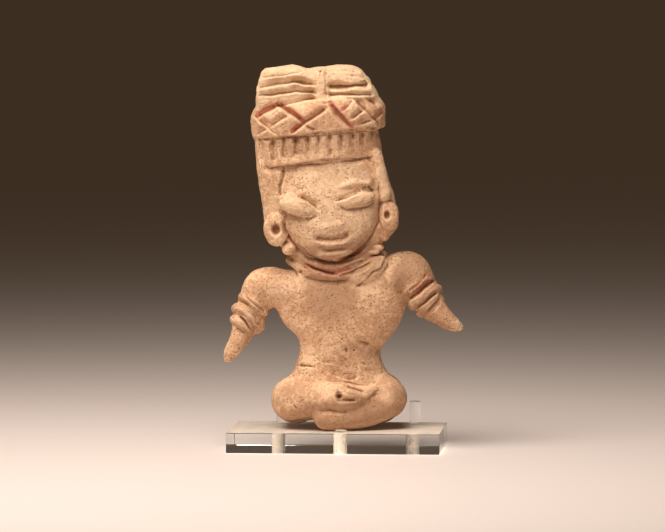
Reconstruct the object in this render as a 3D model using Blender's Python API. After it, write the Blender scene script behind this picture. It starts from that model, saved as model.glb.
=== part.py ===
"""A seated clay figurine on a clear acrylic stand.

The figurine is hand-modelled clay, fired as one piece: coils, pellets and lofted lumps are laid
together, kneaded into one skin, and then incised. It sits cross-legged on a polished acrylic
block, between a low peg in front of its foot and two taller pegs behind its hips.

Frame: metres, +Z up, the figurine faces -Y, the origin is the centre of the block's underside.
The figurine's own points are written in millimetres at its modelled height, in a frame whose
origin is the seat plane above the block's centre, and are scaled by FIGURE_HEIGHT.
"""

import math

import bmesh
import bpy
import numpy as np
from mathutils import Matrix, Vector

# Driving dimensions, in metres
FIGURE_HEIGHT = 0.1130
FIGURE_TURN = math.radians(4.7)
TOUCH_GAP = 0.0003

STAND_THICKNESS = 0.00635
STAND_SIDE_MARGIN = 0.0120
STAND_FRONT_MARGIN = 0.0057
STAND_BACK_MARGIN = 0.0034
STAND_EDGE_BEVEL = 0.00025

PEG_DIAMETER = 0.0036
PEG_EDGE_BEVEL = 0.0002
PEG_OFF_CENTRE = 0.0021
REAR_PEG_RISE = 0.0070
REAR_PEG_BEHIND_SEAT = 0.0014
FRONT_PEG_RISE = 0.0006
FRONT_PEG_BEFORE_FOOT = 0.0007

# The clay, in millimetres at the modelled height
MODELLED_HEIGHT = 113.0
HEAD_PIVOT = Vector((-0.3, 0.0, 50.8))
HEAD_ROLL = math.radians(5.0)
KNEE_HALF_SPAN = 21.0
SEAT_BACK = 15.2
FOOT_FRONT = -13.6
BODY_VOXEL = 0.9
SKIN_VOXEL = 0.5
SKIN_TRIANGLES = 8600

CLAY_COLOUR = (0.62, 0.41, 0.25, 1.0)
CLAY_ROUGHNESS = 0.88
ACRYLIC_COLOUR = (0.93, 0.97, 0.96, 0.3)
ACRYLIC_ROUGHNESS = 0.04

UNIT = FIGURE_HEIGHT / MODELLED_HEIGHT
FRONT = Vector((0.0, -1.0, 0.0))


def make_material(name, colour, roughness):
    """A Principled material with no metal in it."""
    material = bpy.data.materials.new(name)
    material.use_nodes = True
    shader = material.node_tree.nodes["Principled BSDF"]
    shader.inputs["Base Color"].default_value = colour
    shader.inputs["Roughness"].default_value = roughness
    shader.inputs["Metallic"].default_value = 0.0
    shader.inputs["Alpha"].default_value = colour[3]
    return material


def add_object(name, mesh, material):
    """Links a mesh into the scene as an object with one material."""
    obj = bpy.data.objects.new(name, mesh)
    obj.data.materials.append(material)
    bpy.context.scene.collection.objects.link(obj)
    return obj


def head_point(across, depth, up):
    """A point of the rolled head, from its own across, depth and up."""
    roll = Matrix.Rotation(-HEAD_ROLL, 3, "Y")
    return HEAD_PIVOT + roll @ Vector((across, depth, up))


def smooth_curve(points, samples=6):
    """Points along a Catmull-Rom curve through rows of numbers, so that radii can ride along."""
    rows = np.array(points, float)
    ends = np.vstack([2 * rows[0] - rows[1], rows, 2 * rows[-1] - rows[-2]])
    found = []
    for i in range(1, len(ends) - 2):
        a, b, c, d = ends[i - 1 : i + 3]
        for t in np.arange(samples) / samples:
            bend = 2 * a - 5 * b + 4 * c - d
            twist = 3 * b - a - 3 * c + d
            found.append(0.5 * (2 * b + (c - a) * t + bend * t**2 + twist * t**3))
    found.append(rows[-1])
    return np.array(found)


def skin_rings(bm, rings, closed=False):
    """Joins a row of equal rings of points into one lump, capped or closed on itself."""
    made = [[bm.verts.new(p * UNIT) for p in ring] for ring in rings]
    count = len(made[0])
    pairs = list(zip(made, made[1:])) + ([(made[-1], made[0])] if closed else [])
    for low, high in pairs:
        for i in range(count):
            j = (i + 1) % count
            bm.faces.new((low[i], low[j], high[j], high[i]))
    if not closed:
        bm.faces.new(reversed(made[0]))
        bm.faces.new(made[-1])


def add_ball(bm, centre, radii, turn=None):
    """An ellipsoid pellet."""
    place = Matrix.Translation(Vector(centre) * UNIT)
    if turn is not None:
        place = place @ turn.to_4x4()
    scale = Matrix.Diagonal((*(r * UNIT for r in radii), 1.0))
    bmesh.ops.create_icosphere(bm, subdivisions=3, radius=1.0, matrix=place @ scale)


def add_coil(bm, path, flat=1.0, facing=FRONT, sides=16, closed=False, tip=1.0):
    """A roll of clay along rows of (x, y, z, radius), with round ends.

    flat thins it along facing, and tip is how far its ends bulge, as a share of the radius.
    """
    rows = np.array(path, float)
    centres = [Vector(row[:3]) for row in rows]
    radii = [float(row[3]) for row in rows]
    count = len(rows)
    rings = []
    for i, centre in enumerate(centres):
        before = centres[i - 1] if closed or i > 0 else centre
        after = centres[(i + 1) % count] if closed or i < count - 1 else centre
        along = (after - before).normalized()
        side = along.cross(facing).normalized()
        out = side.cross(along)
        round_off = [(0.0, 1.0)]
        if not closed and i == 0:
            round_off = [(-math.cos(a), math.sin(a)) for a in np.linspace(0.15, math.pi / 2, 5)]
        elif not closed and i == count - 1:
            round_off = [(math.sin(a), math.cos(a)) for a in np.linspace(0.0, math.pi / 2 - 0.15, 5)]
        for shift, share in round_off:
            rings.append(
                [
                    centre
                    + along * (shift * radii[i] * tip)
                    + (side * math.cos(turn) + out * (flat * math.sin(turn))) * (radii[i] * share)
                    for turn in (math.tau * k / sides for k in range(sides))
                ]
            )
    skin_rings(bm, rings, closed)


def add_loft(bm, levels, place=Vector, sides=40, squareness=2.3):
    """A lump through rounded oval levels of (height, across, depth, half width, half thickness)."""
    rings = []
    for height, across, depth, half_width, half_thickness in smooth_curve(levels, 4):
        ring = []
        for k in range(sides):
            turn = math.tau * k / sides
            c, s = math.cos(turn), math.sin(turn)
            x = across + half_width * math.copysign(abs(c) ** (2 / squareness), c)
            y = depth + half_thickness * math.copysign(abs(s) ** (2 / squareness), s)
            ring.append(place((x, y, height)))
        rings.append(ring)
    skin_rings(bm, rings)


def knead(name, bm, voxel, smoothing):
    """Works the lumps of bm into one closed skin, and gives that mesh."""
    bmesh.ops.recalc_face_normals(bm, faces=bm.faces)
    mesh = bpy.data.meshes.new(name)
    bm.to_mesh(mesh)
    bm.free()
    obj = bpy.data.objects.new(name, mesh)
    bpy.context.scene.collection.objects.link(obj)
    remesh = obj.modifiers.new("knead", "REMESH")
    remesh.mode = "VOXEL"
    remesh.voxel_size = voxel * UNIT
    smooth = obj.modifiers.new("smooth", "SMOOTH")
    smooth.factor = 0.5
    smooth.iterations = smoothing
    graph = bpy.context.evaluated_depsgraph_get()
    kneaded = bpy.data.meshes.new_from_object(obj.evaluated_get(graph))
    bpy.data.objects.remove(obj)
    bpy.data.meshes.remove(mesh)
    return kneaded


# Body: lofted masses in rows of (height, across, depth, half width, half thickness), limbs in rows of
# (across, depth, height, radius)

TORSO = [
    (2.0, 0.6, 4.5, 15.5, 9.0),
    (9.0, 0.6, 4.5, 17.6, 10.0),
    (15.0, 0.6, 4.2, 15.6, 9.4),
    (20.0, 0.7, 3.8, 13.4, 8.6),
    (24.0, 0.9, 3.4, 12.7, 8.0),
    (28.0, 2.0, 3.0, 14.6, 7.9),
    (32.0, 1.3, 2.8, 18.0, 8.0),
    (36.5, 1.0, 2.6, 20.0, 8.0),
    (41.5, 0.8, 2.5, 20.6, 7.8),
    (46.0, 0.5, 2.6, 17.6, 7.0),
    (50.0, -0.2, 2.8, 13.0, 6.6),
]
HEAD = [
    (-6.0, 0.2, 2.4, 12.0, 6.4),
    (2.0, -0.4, 2.2, 12.8, 6.8),
    (7.5, -0.6, 2.0, 17.0, 6.6),
    (13.0, -0.6, 2.0, 20.3, 6.8),
    (20.0, -0.8, 2.0, 20.6, 7.6),
    (27.0, -1.8, 2.0, 20.0, 8.2),
    (34.0, -2.6, 2.0, 19.2, 8.8),
    (42.0, -2.4, 2.0, 19.0, 9.2),
    (50.0, -1.8, 2.0, 18.6, 9.2),
]
LEFT_ARM = [
    (-13.0, 2.6, 42.0, 6.3),
    (-22.7, 2.2, 43.4, 6.2),
    (-26.3, 0.6, 38.0, 5.1),
    (-28.4, -0.8, 34.0, 4.4),
    (-29.4, -1.4, 29.6, 3.5),
    (-31.2, -2.2, 26.0, 2.9),
    (-33.2, -2.8, 23.2, 2.3),
    (-34.1, -3.0, 21.8, 1.7),
]
RIGHT_ARM = [
    (12.0, 2.6, 44.8, 6.4),
    (21.8, 2.2, 48.4, 6.4),
    (25.6, 0.6, 43.0, 5.5),
    (28.3, -0.6, 38.8, 4.9),
    (30.9, -1.4, 35.7, 3.9),
    (33.7, -2.2, 33.4, 3.1),
    (36.3, -2.8, 31.9, 2.2),
    (37.8, -3.0, 31.2, 1.4),
]
HIPS = [
    (-12.6, 7.0, 8.2, 7.8),
    (-5.2, 7.4, 8.6, 7.8),
    (6.0, 7.4, 8.8, 7.8),
    (13.4, 7.0, 8.6, 7.8),
]
LEFT_LEG = [
    (-7.6, 6.0, 10.8, 7.4),
    (-13.6, -0.5, 8.9, 7.2),
    (-12.8, -5.4, 8.8, 6.3),
    (-5.2, -9.0, 9.7, 5.0),
    (2.6, -10.4, 9.9, 4.4),
    (7.6, -9.8, 10.9, 3.0),
    (11.0, -9.0, 11.9, 2.0),
]
RIGHT_LEG = [
    (8.6, 6.0, 10.8, 7.4),
    (14.6, 0.0, 9.2, 7.1),
    (14.4, -4.6, 8.2, 6.0),
    (9.0, -7.2, 5.4, 4.9),
    (2.6, -9.8, 3.9, 3.9),
    (-3.9, -11.0, 3.5, 3.6),
]


# The foot and the shin that crosses it, laid on after the body is kneaded so that they stay crisp
RIGHT_FOOT = [
    (7.0, -8.4, 4.8, 4.6),
    (2.6, -10.0, 3.9, 4.0),
    (-3.9, -11.0, 3.5, 3.6),
]
LEFT_SHIN = [
    (-6.0, -8.8, 10.2, 4.7),
    (2.6, -10.3, 10.2, 4.4),
    (7.6, -9.8, 11.0, 3.0),
    (11.0, -9.0, 11.9, 2.0),
]


def model_body():
    """The limbs and masses, kneaded until their joins are soft."""
    bm = bmesh.new()
    add_loft(bm, TORSO)
    add_loft(bm, HEAD, place=lambda p: head_point(*p))
    for limb in (LEFT_ARM, RIGHT_ARM, LEFT_LEG, RIGHT_LEG):
        add_coil(bm, smooth_curve(limb))
    for x, y, z, radius in HIPS:
        add_ball(bm, (x, y, z), (radius, radius, radius))
    return knead("body_masses", bm, BODY_VOXEL, 6)


# Clay laid on the head, in the head's own across, depth and up

FACE = [
    (1.2, -0.8, -3.6, 2.6, 2.2),
    (2.6, -0.8, -3.4, 5.2, 3.6),
    (4.4, -0.8, -3.2, 8.0, 4.9),
    (7.2, -0.8, -2.9, 11.3, 5.9),
    (10.6, -0.6, -2.6, 13.4, 6.5),
    (16.5, -0.1, -2.5, 14.6, 6.8),
    (21.0, 0.1, -2.3, 15.2, 6.7),
    (26.0, 0.3, -2.0, 15.1, 6.3),
    (31.0, 0.9, -1.7, 14.9, 5.9),
    (36.0, 0.9, -1.4, 14.6, 5.7),
]
LEFT_EYE = ((-10.3, -8.0, 19.0), (6.2, 2.4, 2.8), math.radians(21.0))
RIGHT_EYE = ((7.9, -8.0, 19.8), (6.2, 2.2, 2.5), math.radians(-10.0))
BROW = [(2.9, -7.9, 24.0, 0.9), (7.1, -7.9, 24.9, 1.3), (12.1, -6.5, 24.2, 1.1)]
LEFT_BROW = ((-12.6, -6.4, 22.0), (3.6, 1.7, 1.7))
MUZZLE = [
    ((-0.6, -7.6, 12.2), (6.8, 2.0, 2.6)),
    ((1.9, -8.2, 12.8), (2.6, 1.4, 1.9)),
    ((-0.2, -7.2, 15.6), (3.0, 1.5, 4.2)),
]
LOWER_LIP = [
    (-6.4, -6.9, 8.4, 0.9),
    (-3.6, -7.9, 7.2, 1.3),
    (-0.7, -8.2, 6.8, 1.4),
    (2.5, -7.9, 7.2, 1.3),
    (5.1, -7.0, 8.5, 0.9),
]
CHIN = ((-0.5, -6.6, 3.9), (6.0, 2.0, 1.5))
LEFT_SPOOL = [(-17.7, 0.0, 12.6, 5.3), (-17.7, -5.2, 12.6, 5.2)]
RIGHT_SPOOL = [(17.4, 0.0, 13.8, 4.8), (17.5, -5.0, 14.0, 4.5)]
SPOOL_FLAT = (0.74, 0.66)
SPOOL_KNOB = ((-14.2, -3.0, 6.2), (2.6, 2.6, 2.1))
SPOOL_TAIL = [(17.2, -1.4, 11.4, 3.2), (15.6, -1.8, 7.6, 1.6)]
FRINGE = [
    (32.3, -2.4, 1.8, 19.0, 10.2),
    (33.4, -2.5, 1.8, 19.3, 10.6),
    (38.0, -2.6, 1.8, 19.4, 10.9),
    (43.0, -2.6, 1.8, 19.4, 10.9),
]
TURBAN = [
    (40.8, -1.7, 1.8, 18.6, 9.6),
    (41.1, -1.7, 1.8, 20.6, 12.0),
    (44.4, -1.7, 1.8, 21.1, 12.5),
    (47.4, -1.7, 1.8, 21.2, 12.4),
    (49.8, -1.7, 1.8, 20.2, 11.5),
    (51.6, -1.7, 1.8, 18.8, 10.0),
]
LEFT_LOBE = [
    (46.0, -10.0, 2.0, 10.8, 9.6),
    (52.0, -10.0, 2.0, 10.8, 9.6),
    (56.0, -9.9, 2.0, 10.2, 9.4),
    (59.0, -9.8, 2.0, 9.3, 8.8),
    (61.4, -10.6, 2.0, 7.6, 7.2),
    (62.8, -12.0, 2.0, 4.4, 4.0),
]
PARTING = [
    (46.0, 0.4, 2.0, 4.6, 9.2),
    (56.0, 0.2, 2.0, 4.4, 9.0),
    (59.8, -0.2, 2.0, 4.0, 8.0),
    (61.3, -0.6, 2.0, 3.2, 6.4),
]
RIGHT_LOBE = [
    (46.0, 8.6, 2.0, 9.8, 9.6),
    (51.5, 8.6, 2.0, 9.0, 9.6),
    (56.5, 8.1, 2.0, 8.1, 9.2),
    (59.6, 7.2, 2.0, 7.1, 8.2),
    (61.6, 6.2, 2.0, 5.0, 5.4),
]


def lay_on_head(bm, rows, **how):
    """A coil through rows of (across, depth, up, radius) on the rolled head."""
    path = smooth_curve(rows) if len(rows) > 2 else rows
    add_coil(bm, [(*head_point(*row[:3]), row[3]) for row in path], **how)


def press_on_head(bm, centre, radii, slant=0.0):
    """A pellet on the rolled head, slanted in the plane of the face."""
    add_ball(bm, head_point(*centre), radii, Matrix.Rotation(slant - HEAD_ROLL, 3, "Y"))


def loft_on_head(bm, levels, **how):
    """A lofted lump that stands along the rolled head."""
    add_loft(bm, levels, place=lambda p: head_point(*p), **how)


def lay_face(bm):
    """The face plate with its coffee-bean eyes, one brow, the broad nose, the lower lip and the chin."""
    loft_on_head(bm, FACE, squareness=2.5)
    press_on_head(bm, *LEFT_EYE)
    press_on_head(bm, *RIGHT_EYE)
    press_on_head(bm, *LEFT_BROW)
    lay_on_head(bm, BROW)
    for pellet in MUZZLE:
        press_on_head(bm, *pellet)
    lay_on_head(bm, LOWER_LIP)
    press_on_head(bm, *CHIN)


def lay_ear_spools(bm):
    """A thick disc over each ear lobe, the pellet under the left one and the tail of the right one."""
    for rows, flat in zip((LEFT_SPOOL, RIGHT_SPOOL), SPOOL_FLAT):
        lay_on_head(bm, rows, flat=flat, facing=Vector((1.0, 0.0, 0.0)), tip=0.25, sides=24)
    press_on_head(bm, *SPOOL_KNOB)
    lay_on_head(bm, SPOOL_TAIL)


def lay_turban(bm):
    """The band of locks, the wound cloth above it, and the hair on top."""
    loft_on_head(bm, FRINGE, squareness=2.6)
    loft_on_head(bm, TURBAN, squareness=2.4)
    loft_on_head(bm, LEFT_LOBE, squareness=2.8)
    loft_on_head(bm, PARTING)
    loft_on_head(bm, RIGHT_LOBE, squareness=2.8)


# Clay laid on the body. A strand of the collar: height at the sides, slope, sag at the front, half
# width, half depth, radius. A strand of an armband: centre, half width, radius

COLLAR = [
    (55.6, 0.06, 5.4, 13.4, 6.8, 1.3),
    (53.0, 0.06, 5.6, 14.8, 7.2, 1.4),
]
COLLAR_MIDDLE = (-0.4, 2.2)
COLLAR_FLAP = ((9.0, -3.5, 48.9), (6.8, 2.4, 3.2), math.radians(-32.0))
COLLAR_TAILS = [
    ((11.4, -4.2, 54.9), (1.6, 0.9, 0.8)),
    ((12.9, -3.4, 56.3), (1.5, 0.9, 0.9)),
]
LEFT_ARMBAND = [
    ((-26.3, 0.3, 38.0), 4.1, 1.5),
    ((-28.4, -0.5, 34.8), 4.0, 1.6),
    ((-29.6, -1.2, 31.9), 3.1, 1.4),
]
LEFT_ARMBAND_WAY = (-0.59, -0.2, -0.81)
LEFT_ARMBAND_FOLD = ((-25.2, -0.2, 32.6), (2.9, 3.4, 3.6))
RIGHT_ARMBAND = [
    ((24.9, 0.6, 43.8), 4.4, 1.4),
    ((27.2, 0.0, 40.4), 4.3, 1.6),
    ((28.9, -0.6, 37.5), 3.5, 1.4),
]
RIGHT_ARMBAND_WAY = (0.55, -0.2, -0.84)


def lay_collar(bm):
    """The strands of the collar, sagging at the front, its broad flap and its tucked-in ends."""
    for height, slope, sag, half_width, half_depth, radius in COLLAR:
        rows = []
        for k in range(48):
            turn = math.tau * k / 48
            x = COLLAR_MIDDLE[0] + half_width * math.cos(turn)
            y = COLLAR_MIDDLE[1] + half_depth * math.sin(turn)
            front = max(0.0, -math.sin(turn))
            rows.append((x, y, height + slope * x - sag * front**2, radius))
        add_coil(bm, rows, facing=Vector((0.0, 0.0, 1.0)), sides=12, closed=True)
    centre, radii, slant = COLLAR_FLAP
    add_ball(bm, centre, radii, Matrix.Rotation(slant, 3, "Y"))
    for centre, radii in COLLAR_TAILS:
        add_ball(bm, centre, radii)


def lay_armband(bm, strands, way):
    """Strands side by side round an upper arm."""
    along = Vector(way).normalized()
    across = along.cross(Vector((0.0, 1.0, 0.0))).normalized()
    over = across.cross(along)
    for centre, half, radius in strands:
        rows = []
        for k in range(36):
            turn = math.tau * k / 36
            out = across * math.cos(turn) + over * math.sin(turn)
            rows.append((*(Vector(centre) + out * half), radius))
        add_coil(bm, rows, facing=along, sides=12, closed=True)


def model_figurine():
    """The whole figurine as one dense skin, before it is incised."""
    bm = bmesh.new()
    body = model_body()
    bm.from_mesh(body)
    bpy.data.meshes.remove(body)
    add_coil(bm, smooth_curve(RIGHT_FOOT), tip=0.7)
    add_coil(bm, smooth_curve(LEFT_SHIN))
    lay_face(bm)
    lay_ear_spools(bm)
    lay_turban(bm)
    lay_collar(bm)
    lay_armband(bm, LEFT_ARMBAND, LEFT_ARMBAND_WAY)
    add_ball(bm, *LEFT_ARMBAND_FOLD)
    lay_armband(bm, RIGHT_ARMBAND, RIGHT_ARMBAND_WAY)
    return knead("figurine", bm, SKIN_VOXEL, 2)


# Incised lines: the points, half width, depth. On the head they are in its across and up, on the
# body in across and height

TURBAN_CUTS = [
    ([(-20.6, 47.9), (-17.3, 49.4), (-13.9, 50.9), (-6.4, 45.4)], 0.9, 1.3),
    ([(-10.1, 42.5), (-6.2, 44.8), (1.2, 48.8)], 0.9, 1.3),
    ([(-21.8, 49.2), (-17.2, 44.3)], 0.8, 1.1),
    ([(2.3, 50.4), (4.5, 47.3), (8.4, 42.2)], 0.9, 1.3),
    ([(8.2, 44.8), (12.6, 47.5)], 0.8, 0.9),
    ([(10.3, 50.5), (14.0, 45.9), (17.3, 41.6)], 0.8, 1.1),
    ([(-21.4, 42.0), (-17.7, 44.2), (-14.6, 41.9)], 0.8, 0.9),
]
HAIR_CUTS = [
    ([(-17.0, 60.9), (-12.9, 61.3), (-4.6, 60.2)], 1.0, 1.2),
    ([(-18.9, 56.4), (-10.1, 56.9), (-2.6, 57.0)], 1.1, 1.6),
    ([(-18.1, 53.7), (-9.9, 54.7), (-2.4, 53.6)], 1.0, 1.4),
    ([(3.4, 60.5), (12.4, 58.8)], 0.9, 0.8),
    ([(2.6, 55.5), (14.4, 54.9)], 1.1, 2.2),
    ([(3.2, 53.3), (14.7, 52.5)], 0.8, 0.8),
    ([(-1.2, 61.0), (-2.0, 52.4)], 0.7, 0.6),
    ([(1.9, 60.6), (1.0, 51.6)], 0.7, 0.7),
]
LOCK_CUTS = [-20.0, -16.0, -13.0, -9.0, -3.9, 0.5, 5.0, 9.8, 13.4]
LOCK_CUT_SPAN = (34.2, 41.2)
LOCK_CUT = (0.8, 0.8)
FACE_CUTS = [
    ([(-8.9, 22.5), (-6.5, 21.0), (-4.2, 18.7)], 0.7, 1.0),
    ([(1.7, 20.0), (4.5, 21.2), (8.4, 22.5)], 0.8, 1.0),
    ([(-6.0, 10.1), (-3.5, 9.3), (-0.8, 9.0), (2.3, 9.3), (4.6, 10.3)], 0.9, 1.4),
    ([(-5.9, 5.8), (-2.3, 5.2), (2.6, 5.2), (6.2, 6.3)], 0.6, 0.5),
    ([(-15.1, 22.4), (-14.7, 15.1), (-14.3, 11.1), (-12.4, 7.9), (-8.6, 5.0)], 0.7, 0.9),
    ([(15.0, 24.0), (15.1, 17.6), (14.2, 12.5), (12.1, 8.8), (9.7, 6.2)], 0.7, 0.9),
]
SPOOL_HOLES = [((-17.8, 12.6), 1.5, 2.2), ((16.9, 14.1), 1.1, 1.7)]
BODY_CUTS = [
    ([(-10.0, 51.4), (-6.6, 49.5), (-0.3, 48.3)], 0.7, 1.2),
    ([(13.8, 50.1), (10.9, 48.9), (5.6, 43.9)], 0.8, 0.7),
    ([(-31.9, 38.3), (-28.4, 36.9), (-24.1, 32.6)], 0.7, 0.9),
    ([(-30.6, 35.2), (-26.6, 30.5)], 0.7, 1.1),
    ([(21.9, 39.5), (26.3, 43.3), (30.3, 45.8)], 0.8, 1.2),
    ([(24.1, 37.1), (27.5, 39.2), (31.3, 42.7)], 0.8, 1.2),
    ([(3.1, 12.3), (8.1, 10.7)], 0.7, 1.3),
    ([(0.4, 10.8), (1.0, 9.8), (5.2, 9.9)], 0.9, 1.6),
]


def distance_to_line(points, line):
    """How far each flat point lies from a polyline."""
    best = np.full(len(points), np.inf)
    for a, b in zip(line, line[1:]):
        a, b = np.array(a, float), np.array(b, float)
        way = b - a
        t = np.clip((points - a) @ way / (way @ way), 0.0, 1.0)
        best = np.minimum(best, np.linalg.norm(points - a - t[:, None] * way, axis=1))
    return best


def press_line(points, normals, flat_points, line, half_width, depth):
    """Pushes the front of the clay in along a line, as a tool would."""
    share = np.clip(1.0 - distance_to_line(flat_points, line) / (half_width * 1.6), 0.0, 1.0)
    front = np.clip(-normals[:, 1] * 1.6, 0.0, 1.0)
    points[:, 1] += depth * front * share * share * (3.0 - 2.0 * share)


def incise(mesh):
    """Cuts the head and the body, presses in the spools, and flattens the seat."""
    count = len(mesh.vertices)
    points = np.empty(count * 3, np.float32)
    normals = np.empty(count * 3, np.float32)
    mesh.vertices.foreach_get("co", points)
    mesh.vertices.foreach_get("normal", normals)
    points = points.reshape(-1, 3).astype(float) / UNIT
    normals = normals.reshape(-1, 3).astype(float)
    unroll = np.array(Matrix.Rotation(HEAD_ROLL, 3, "Y"))
    head = ((points - np.array(HEAD_PIVOT)) @ unroll.T)[:, [0, 2]]
    for line, half_width, depth in TURBAN_CUTS + HAIR_CUTS + FACE_CUTS:
        press_line(points, normals, head, line, half_width, depth)
    low, high = LOCK_CUT_SPAN
    for across in LOCK_CUTS:
        press_line(points, normals, head, [(across, low), (across, high)], *LOCK_CUT)
    for (across, up), radius, depth in SPOOL_HOLES:
        press_line(points, normals, head, [(across, up - 0.3), (across, up + 0.3)], radius, depth)
    for line, half_width, depth in BODY_CUTS:
        press_line(points, normals, points[:, [0, 2]], line, half_width, depth)
    points[:, 2] = np.maximum(points[:, 2], 0.0)
    mesh.vertices.foreach_set("co", (points * UNIT).astype(np.float32).ravel())
    mesh.update()


def build_figurine(material):
    """The finished clay, thinned to a solid of few faces."""
    mesh = model_figurine()
    incise(mesh)
    obj = add_object("figurine", mesh, material)
    obj.location = (0.0, FIGURE_PLACE, STAND_THICKNESS + TOUCH_GAP)
    obj.rotation_euler = (0.0, 0.0, FIGURE_TURN)
    thin = obj.modifiers.new("thin", "DECIMATE")
    mesh.calc_loop_triangles()
    thin.ratio = SKIN_TRIANGLES / len(mesh.loop_triangles)


# Stand

FRONT_PEG_DEPTH = FOOT_FRONT * UNIT - FRONT_PEG_BEFORE_FOOT
REAR_PEG_DEPTH = SEAT_BACK * UNIT + REAR_PEG_BEHIND_SEAT
STAND_WIDTH = 2 * (KNEE_HALF_SPAN * UNIT + STAND_SIDE_MARGIN)
STAND_DEPTH = REAR_PEG_DEPTH + STAND_BACK_MARGIN - FRONT_PEG_DEPTH + STAND_FRONT_MARGIN
FIGURE_PLACE = STAND_DEPTH / 2 - REAR_PEG_DEPTH - STAND_BACK_MARGIN
FRONT_PEG_Y = FRONT_PEG_DEPTH + FIGURE_PLACE
REAR_PEG_Y = REAR_PEG_DEPTH + FIGURE_PLACE
PEGS = {
    "front_peg": (PEG_OFF_CENTRE, FRONT_PEG_Y, FRONT_PEG_RISE),
    "rear_left_peg": (PEG_OFF_CENTRE - KNEE_HALF_SPAN * UNIT, REAR_PEG_Y, REAR_PEG_RISE),
    "rear_right_peg": (PEG_OFF_CENTRE + KNEE_HALF_SPAN * UNIT, REAR_PEG_Y, REAR_PEG_RISE),
}
ROUND_SIDES = 24


def make_rod(name, radius, low, high, x, y, material):
    """An upright round rod from one height to another."""
    bm = bmesh.new()
    bmesh.ops.create_cone(
        bm, cap_ends=True, segments=ROUND_SIDES, radius1=radius, radius2=radius, depth=high - low
    )
    mesh = bpy.data.meshes.new(name)
    bm.to_mesh(mesh)
    bm.free()
    rod = add_object(name, mesh, material)
    rod.location = (x, y, (low + high) / 2)
    return rod


def add_bevel(obj, width):
    """Rounds the sharp edges of an object."""
    bevel = obj.modifiers.new("edge", "BEVEL")
    bevel.width = width
    bevel.segments = 2
    bevel.limit_method = "ANGLE"
    bevel.angle_limit = math.radians(40)


def build_block(material):
    """The polished block, bored right through for each peg."""
    bm = bmesh.new()
    size = Matrix.Diagonal((STAND_WIDTH, STAND_DEPTH, STAND_THICKNESS, 1.0))
    bmesh.ops.create_cube(bm, size=1.0, matrix=Matrix.Translation((0, 0, STAND_THICKNESS / 2)) @ size)
    mesh = bpy.data.meshes.new("stand_block")
    bm.to_mesh(mesh)
    bm.free()
    block = add_object("stand_block", mesh, material)
    add_bevel(block, STAND_EDGE_BEVEL)
    radius = PEG_DIAMETER / 2 + TOUCH_GAP
    past = STAND_THICKNESS / 2
    for name, (x, y, _) in PEGS.items():
        bore = make_rod(f"{name}_bore", radius, -past, STAND_THICKNESS + past, x, y, material)
        bore.hide_render = True
        bore.display_type = "WIRE"
        cut = block.modifiers.new(name, "BOOLEAN")
        cut.operation = "DIFFERENCE"
        cut.solver = "EXACT"
        cut.object = bore


def build_pegs(material):
    """The three pegs, flush with the block's underside."""
    for name, (x, y, rise) in PEGS.items():
        peg = make_rod(name, PEG_DIAMETER / 2, 0.0, STAND_THICKNESS + rise, x, y, material)
        peg.data.shade_smooth()
        peg.data.set_sharp_from_angle(angle=math.radians(40))
        add_bevel(peg, PEG_EDGE_BEVEL)


def main():
    for old in list(bpy.data.objects):
        bpy.data.objects.remove(old)
    clay = make_material("fired_clay", CLAY_COLOUR, CLAY_ROUGHNESS)
    acrylic = make_material("clear_acrylic", ACRYLIC_COLOUR, ACRYLIC_ROUGHNESS)
    build_figurine(clay)
    build_block(acrylic)
    build_pegs(acrylic)


main()
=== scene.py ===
"""Dresses the seated clay figurine on its clear stand.

The figurine is modelled again as one finer skin: the same coils, pellets and lofted lumps are
kneaded together, and then cut, pricked and rubbed as the potter did it. The tooling also leaves
painted masks on the skin, which the clay's material reads. Block and pegs are clear acrylic.

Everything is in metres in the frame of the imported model. The clay's own points are millimetres, in
a frame with its origin on the seat plane above the block's centre, and the head's points are in its
own across, depth and up.
"""

import math
import random

import bmesh
import bpy
import numpy as np
from mathutils import Matrix, Vector


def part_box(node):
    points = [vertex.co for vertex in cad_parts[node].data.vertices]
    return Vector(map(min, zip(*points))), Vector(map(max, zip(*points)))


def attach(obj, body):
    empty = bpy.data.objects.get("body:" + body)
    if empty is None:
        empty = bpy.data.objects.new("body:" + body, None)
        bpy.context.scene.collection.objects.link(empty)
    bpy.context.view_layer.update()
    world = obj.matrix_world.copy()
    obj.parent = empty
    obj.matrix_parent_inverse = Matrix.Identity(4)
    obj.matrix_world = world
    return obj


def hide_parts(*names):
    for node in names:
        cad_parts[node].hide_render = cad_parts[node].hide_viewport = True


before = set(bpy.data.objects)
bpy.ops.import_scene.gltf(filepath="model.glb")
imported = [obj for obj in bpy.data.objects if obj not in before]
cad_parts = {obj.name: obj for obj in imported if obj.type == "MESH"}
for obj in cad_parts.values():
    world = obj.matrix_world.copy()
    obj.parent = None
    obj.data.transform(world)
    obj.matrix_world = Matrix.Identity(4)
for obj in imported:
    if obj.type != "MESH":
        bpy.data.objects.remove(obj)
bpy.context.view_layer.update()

# The stand, read from the frame
PEGS = ("front_peg", "rear_left_peg", "rear_right_peg")
BLOCK_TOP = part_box("stand_block")[1][2]
FIGURE_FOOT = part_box("figurine")[0][2]

# The clay
UNIT = 0.001
FIGURE_TURN = math.radians(4.7)
SEAT = Vector((0.0, 0.0, FIGURE_FOOT))
HEAD_PIVOT = Vector((-0.3, 0.0, 50.8))
HEAD_ROLL = math.radians(5.0)
BODY_VOXEL = 0.9
BODY_SMOOTHING = 6
SKIN_VOXEL = 0.32
SKIN_SMOOTHING = 2
SKIN_TRIANGLES = 195000
FRONT = Vector((0.0, -1.0, 0.0))
SEED = 7


def add_object(name, data):
    """A new object in the scene."""
    obj = bpy.data.objects.new(name, data)
    bpy.context.scene.collection.objects.link(obj)
    return obj


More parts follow.
